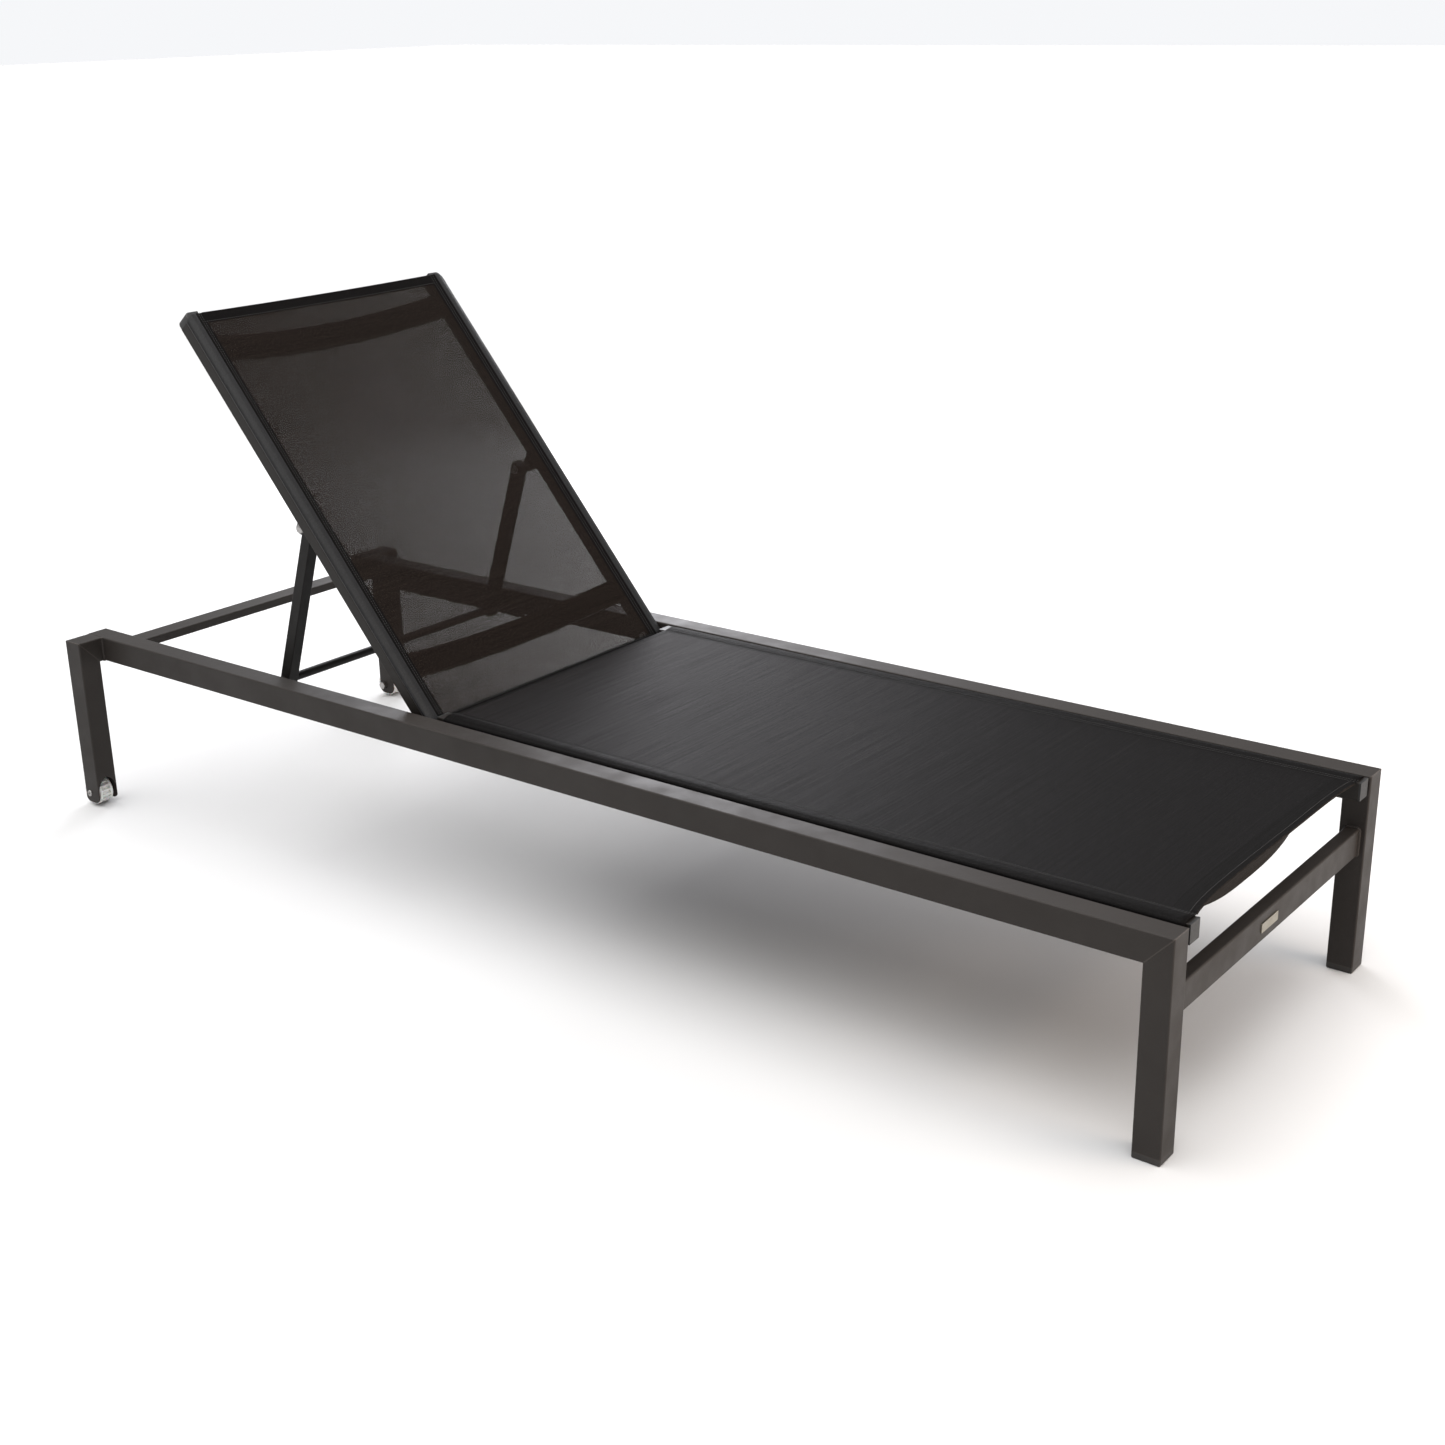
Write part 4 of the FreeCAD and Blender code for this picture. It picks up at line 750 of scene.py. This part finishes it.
def frame_welds():
    """Beads round the cross tubes' ends, down the stubs' corners and along the racks."""
    lines = []
    for node in ("foot_crossbar", "head_crossbar", "seat_crossbar_head", "seat_crossbar_middle",
                 "seat_crossbar_foot"):
        low, high = box(node)
        lines += [round_a_tube(low, high, y) for y in (low.y, high.y)]
    for side, sign in SIDES.items():
        low, high = box(f"head_stub_{side}")
        rail_face = sign * box("side_rail_left")[1].y
        lines.append([Vector((high.x, rail_face, low.z)), Vector((high.x, rail_face, high.z))])
        rack_low, rack_high = box(f"rack_{side}")
        inside = rack_high.y if sign > 0 else rack_low.y
        x = rack_low.x + RACK_WELD_START
        while x < rack_high.x:
            lines.append([Vector((x, inside, rack_low.z)),
                          Vector((x + RACK_WELD, inside, rack_low.z))])
            x += RACK_WELD_PITCH
    return lines


def back_welds():
    """Beads round the ends of the bowed cross tubes, drawn flat and swung up with the back."""
    lines = []
    for node in ("back_crossbar_lower", "back_crossbar_upper"):
        corners = [RAISE.inverted() @ Vector(v.co) for v in NODES[node].data.vertices]
        end = [c for c in corners if abs(abs(c.y) - INNER) < 1e-4]
        low = Vector([min(c[k] for c in end) for k in range(3)])
        high = Vector([max(c[k] for c in end) for k in range(3)])
        for sign in (1, -1):
            lines.append([RAISE @ point for point in round_a_tube(low, high, sign * INNER)])
    return lines


made_by_nodes("frame_welds", lines_mesh("frame_weld_lines", frame_welds()), WELD_GROUP,
              {"Radius": 0.0026, "Finish": frame_coat}, "frame")
made_by_nodes("backrest_welds", lines_mesh("backrest_weld_lines", back_welds()), WELD_GROUP,
              {"Radius": 0.0022, "Finish": frame_coat}, "backrest")


# ------------------------------------------------------------------ studio

CAMERA_AT = Vector((1.8388, -2.2047, 1.3038))
CAMERA_AZIMUTH, CAMERA_ELEVATION, CAMERA_ROLL = 37.93, 20.23, -1.11     # degrees
CAMERA_LENS, CAMERA_SENSOR = 49.51, 36.0                                # mm


def camera_and_studio():
    azimuth, elevation = math.radians(CAMERA_AZIMUTH), math.radians(CAMERA_ELEVATION)
    roll = math.radians(CAMERA_ROLL)
    forward = Vector((-math.sin(azimuth) * math.cos(elevation),
                      math.cos(azimuth) * math.cos(elevation), -math.sin(elevation)))
    right = Vector((math.cos(azimuth), math.sin(azimuth), 0))
    up = right.cross(forward)
    right, up = (right * math.cos(roll) + up * math.sin(roll),
                 up * math.cos(roll) - right * math.sin(roll))
    camera = bpy.data.objects.new("camera", bpy.data.cameras.new("camera"))
    camera.data.sensor_width = CAMERA_SENSOR
    camera.data.lens = CAMERA_LENS
    turn = Matrix((right, up, -forward)).transposed().to_4x4()
    camera.matrix_world = Matrix.Translation(CAMERA_AT) @ turn
    bpy.context.scene.collection.objects.link(camera)
    bpy.context.scene.camera = camera

    made, tree, shader, where = material("pale_floor", Roughness=0.8)
    tree.put(tree.mix(tree.noise(where, 3.0, 2.0), (0.61, 0.61, 0.61, 1), (0.64, 0.64, 0.64, 1)),
             shader.inputs["Base Color"])
    bpy.ops.mesh.primitive_plane_add(size=80, location=(0, 0, 0))
    floor = bpy.context.object
    floor.name = "pale_floor"
    floor.data.materials.append(made)

    world = bpy.data.worlds.new("studio")
    world.use_nodes = True
    # Pale walls low down and overhead, dimmer between, so that upright faces stay darker.
    sky_tree = Tree(world.node_tree)
    background = world.node_tree.nodes["Background"]
    background.inputs[0].default_value = (0.97, 0.98, 1.0, 1)
    upward = sky_tree.add("ShaderNodeSeparateXYZ", {
        "Vector": sky_tree.add("ShaderNodeTexCoord").outputs["Generated"]}).outputs[2]
    low_wall = sky_tree.ramp(upward, 0.05, 0.14, 0.95, 0.38)
    ceiling = sky_tree.ramp(upward, 0.45, 0.95, 0.38, 1.5)
    sky_tree.put(sky_tree.math("MAXIMUM", low_wall, ceiling), background.inputs[1])
    bpy.context.scene.world = world
    bpy.context.scene.view_settings.view_transform = "Standard"

    def soft_light(name, place, size, power, colour, aim):
        lamp = bpy.data.lights.new(name, "AREA")
        lamp.shape, lamp.size, lamp.energy, lamp.color = "SQUARE", size, power, colour
        light = bpy.data.objects.new(name, lamp)
        light.location = place
        light.rotation_euler = (Vector(aim) - Vector(place)).to_track_quat("-Z", "Y").to_euler()
        bpy.context.scene.collection.objects.link(light)

    sky = bpy.data.lights.new("overhead", "SUN")
    sky.energy, sky.angle, sky.color = 2.5, math.radians(70), (1.0, 0.98, 0.96)
    overhead = bpy.data.objects.new("overhead", sky)
    overhead.rotation_euler = (math.radians(12), math.radians(-8), 0)
    bpy.context.scene.collection.objects.link(overhead)
    soft_light("foot_side", (3.0, 0.5, 0.8), 1.4, 36, (1.0, 0.80, 0.64), (1.0, 0.0, 0.2))
    soft_light("far_side", (-2.1, 2.3, 1.35), 1.3, 44, (0.95, 0.95, 1.0), (0.0, 0.0, 0.3))


camera_and_studio()
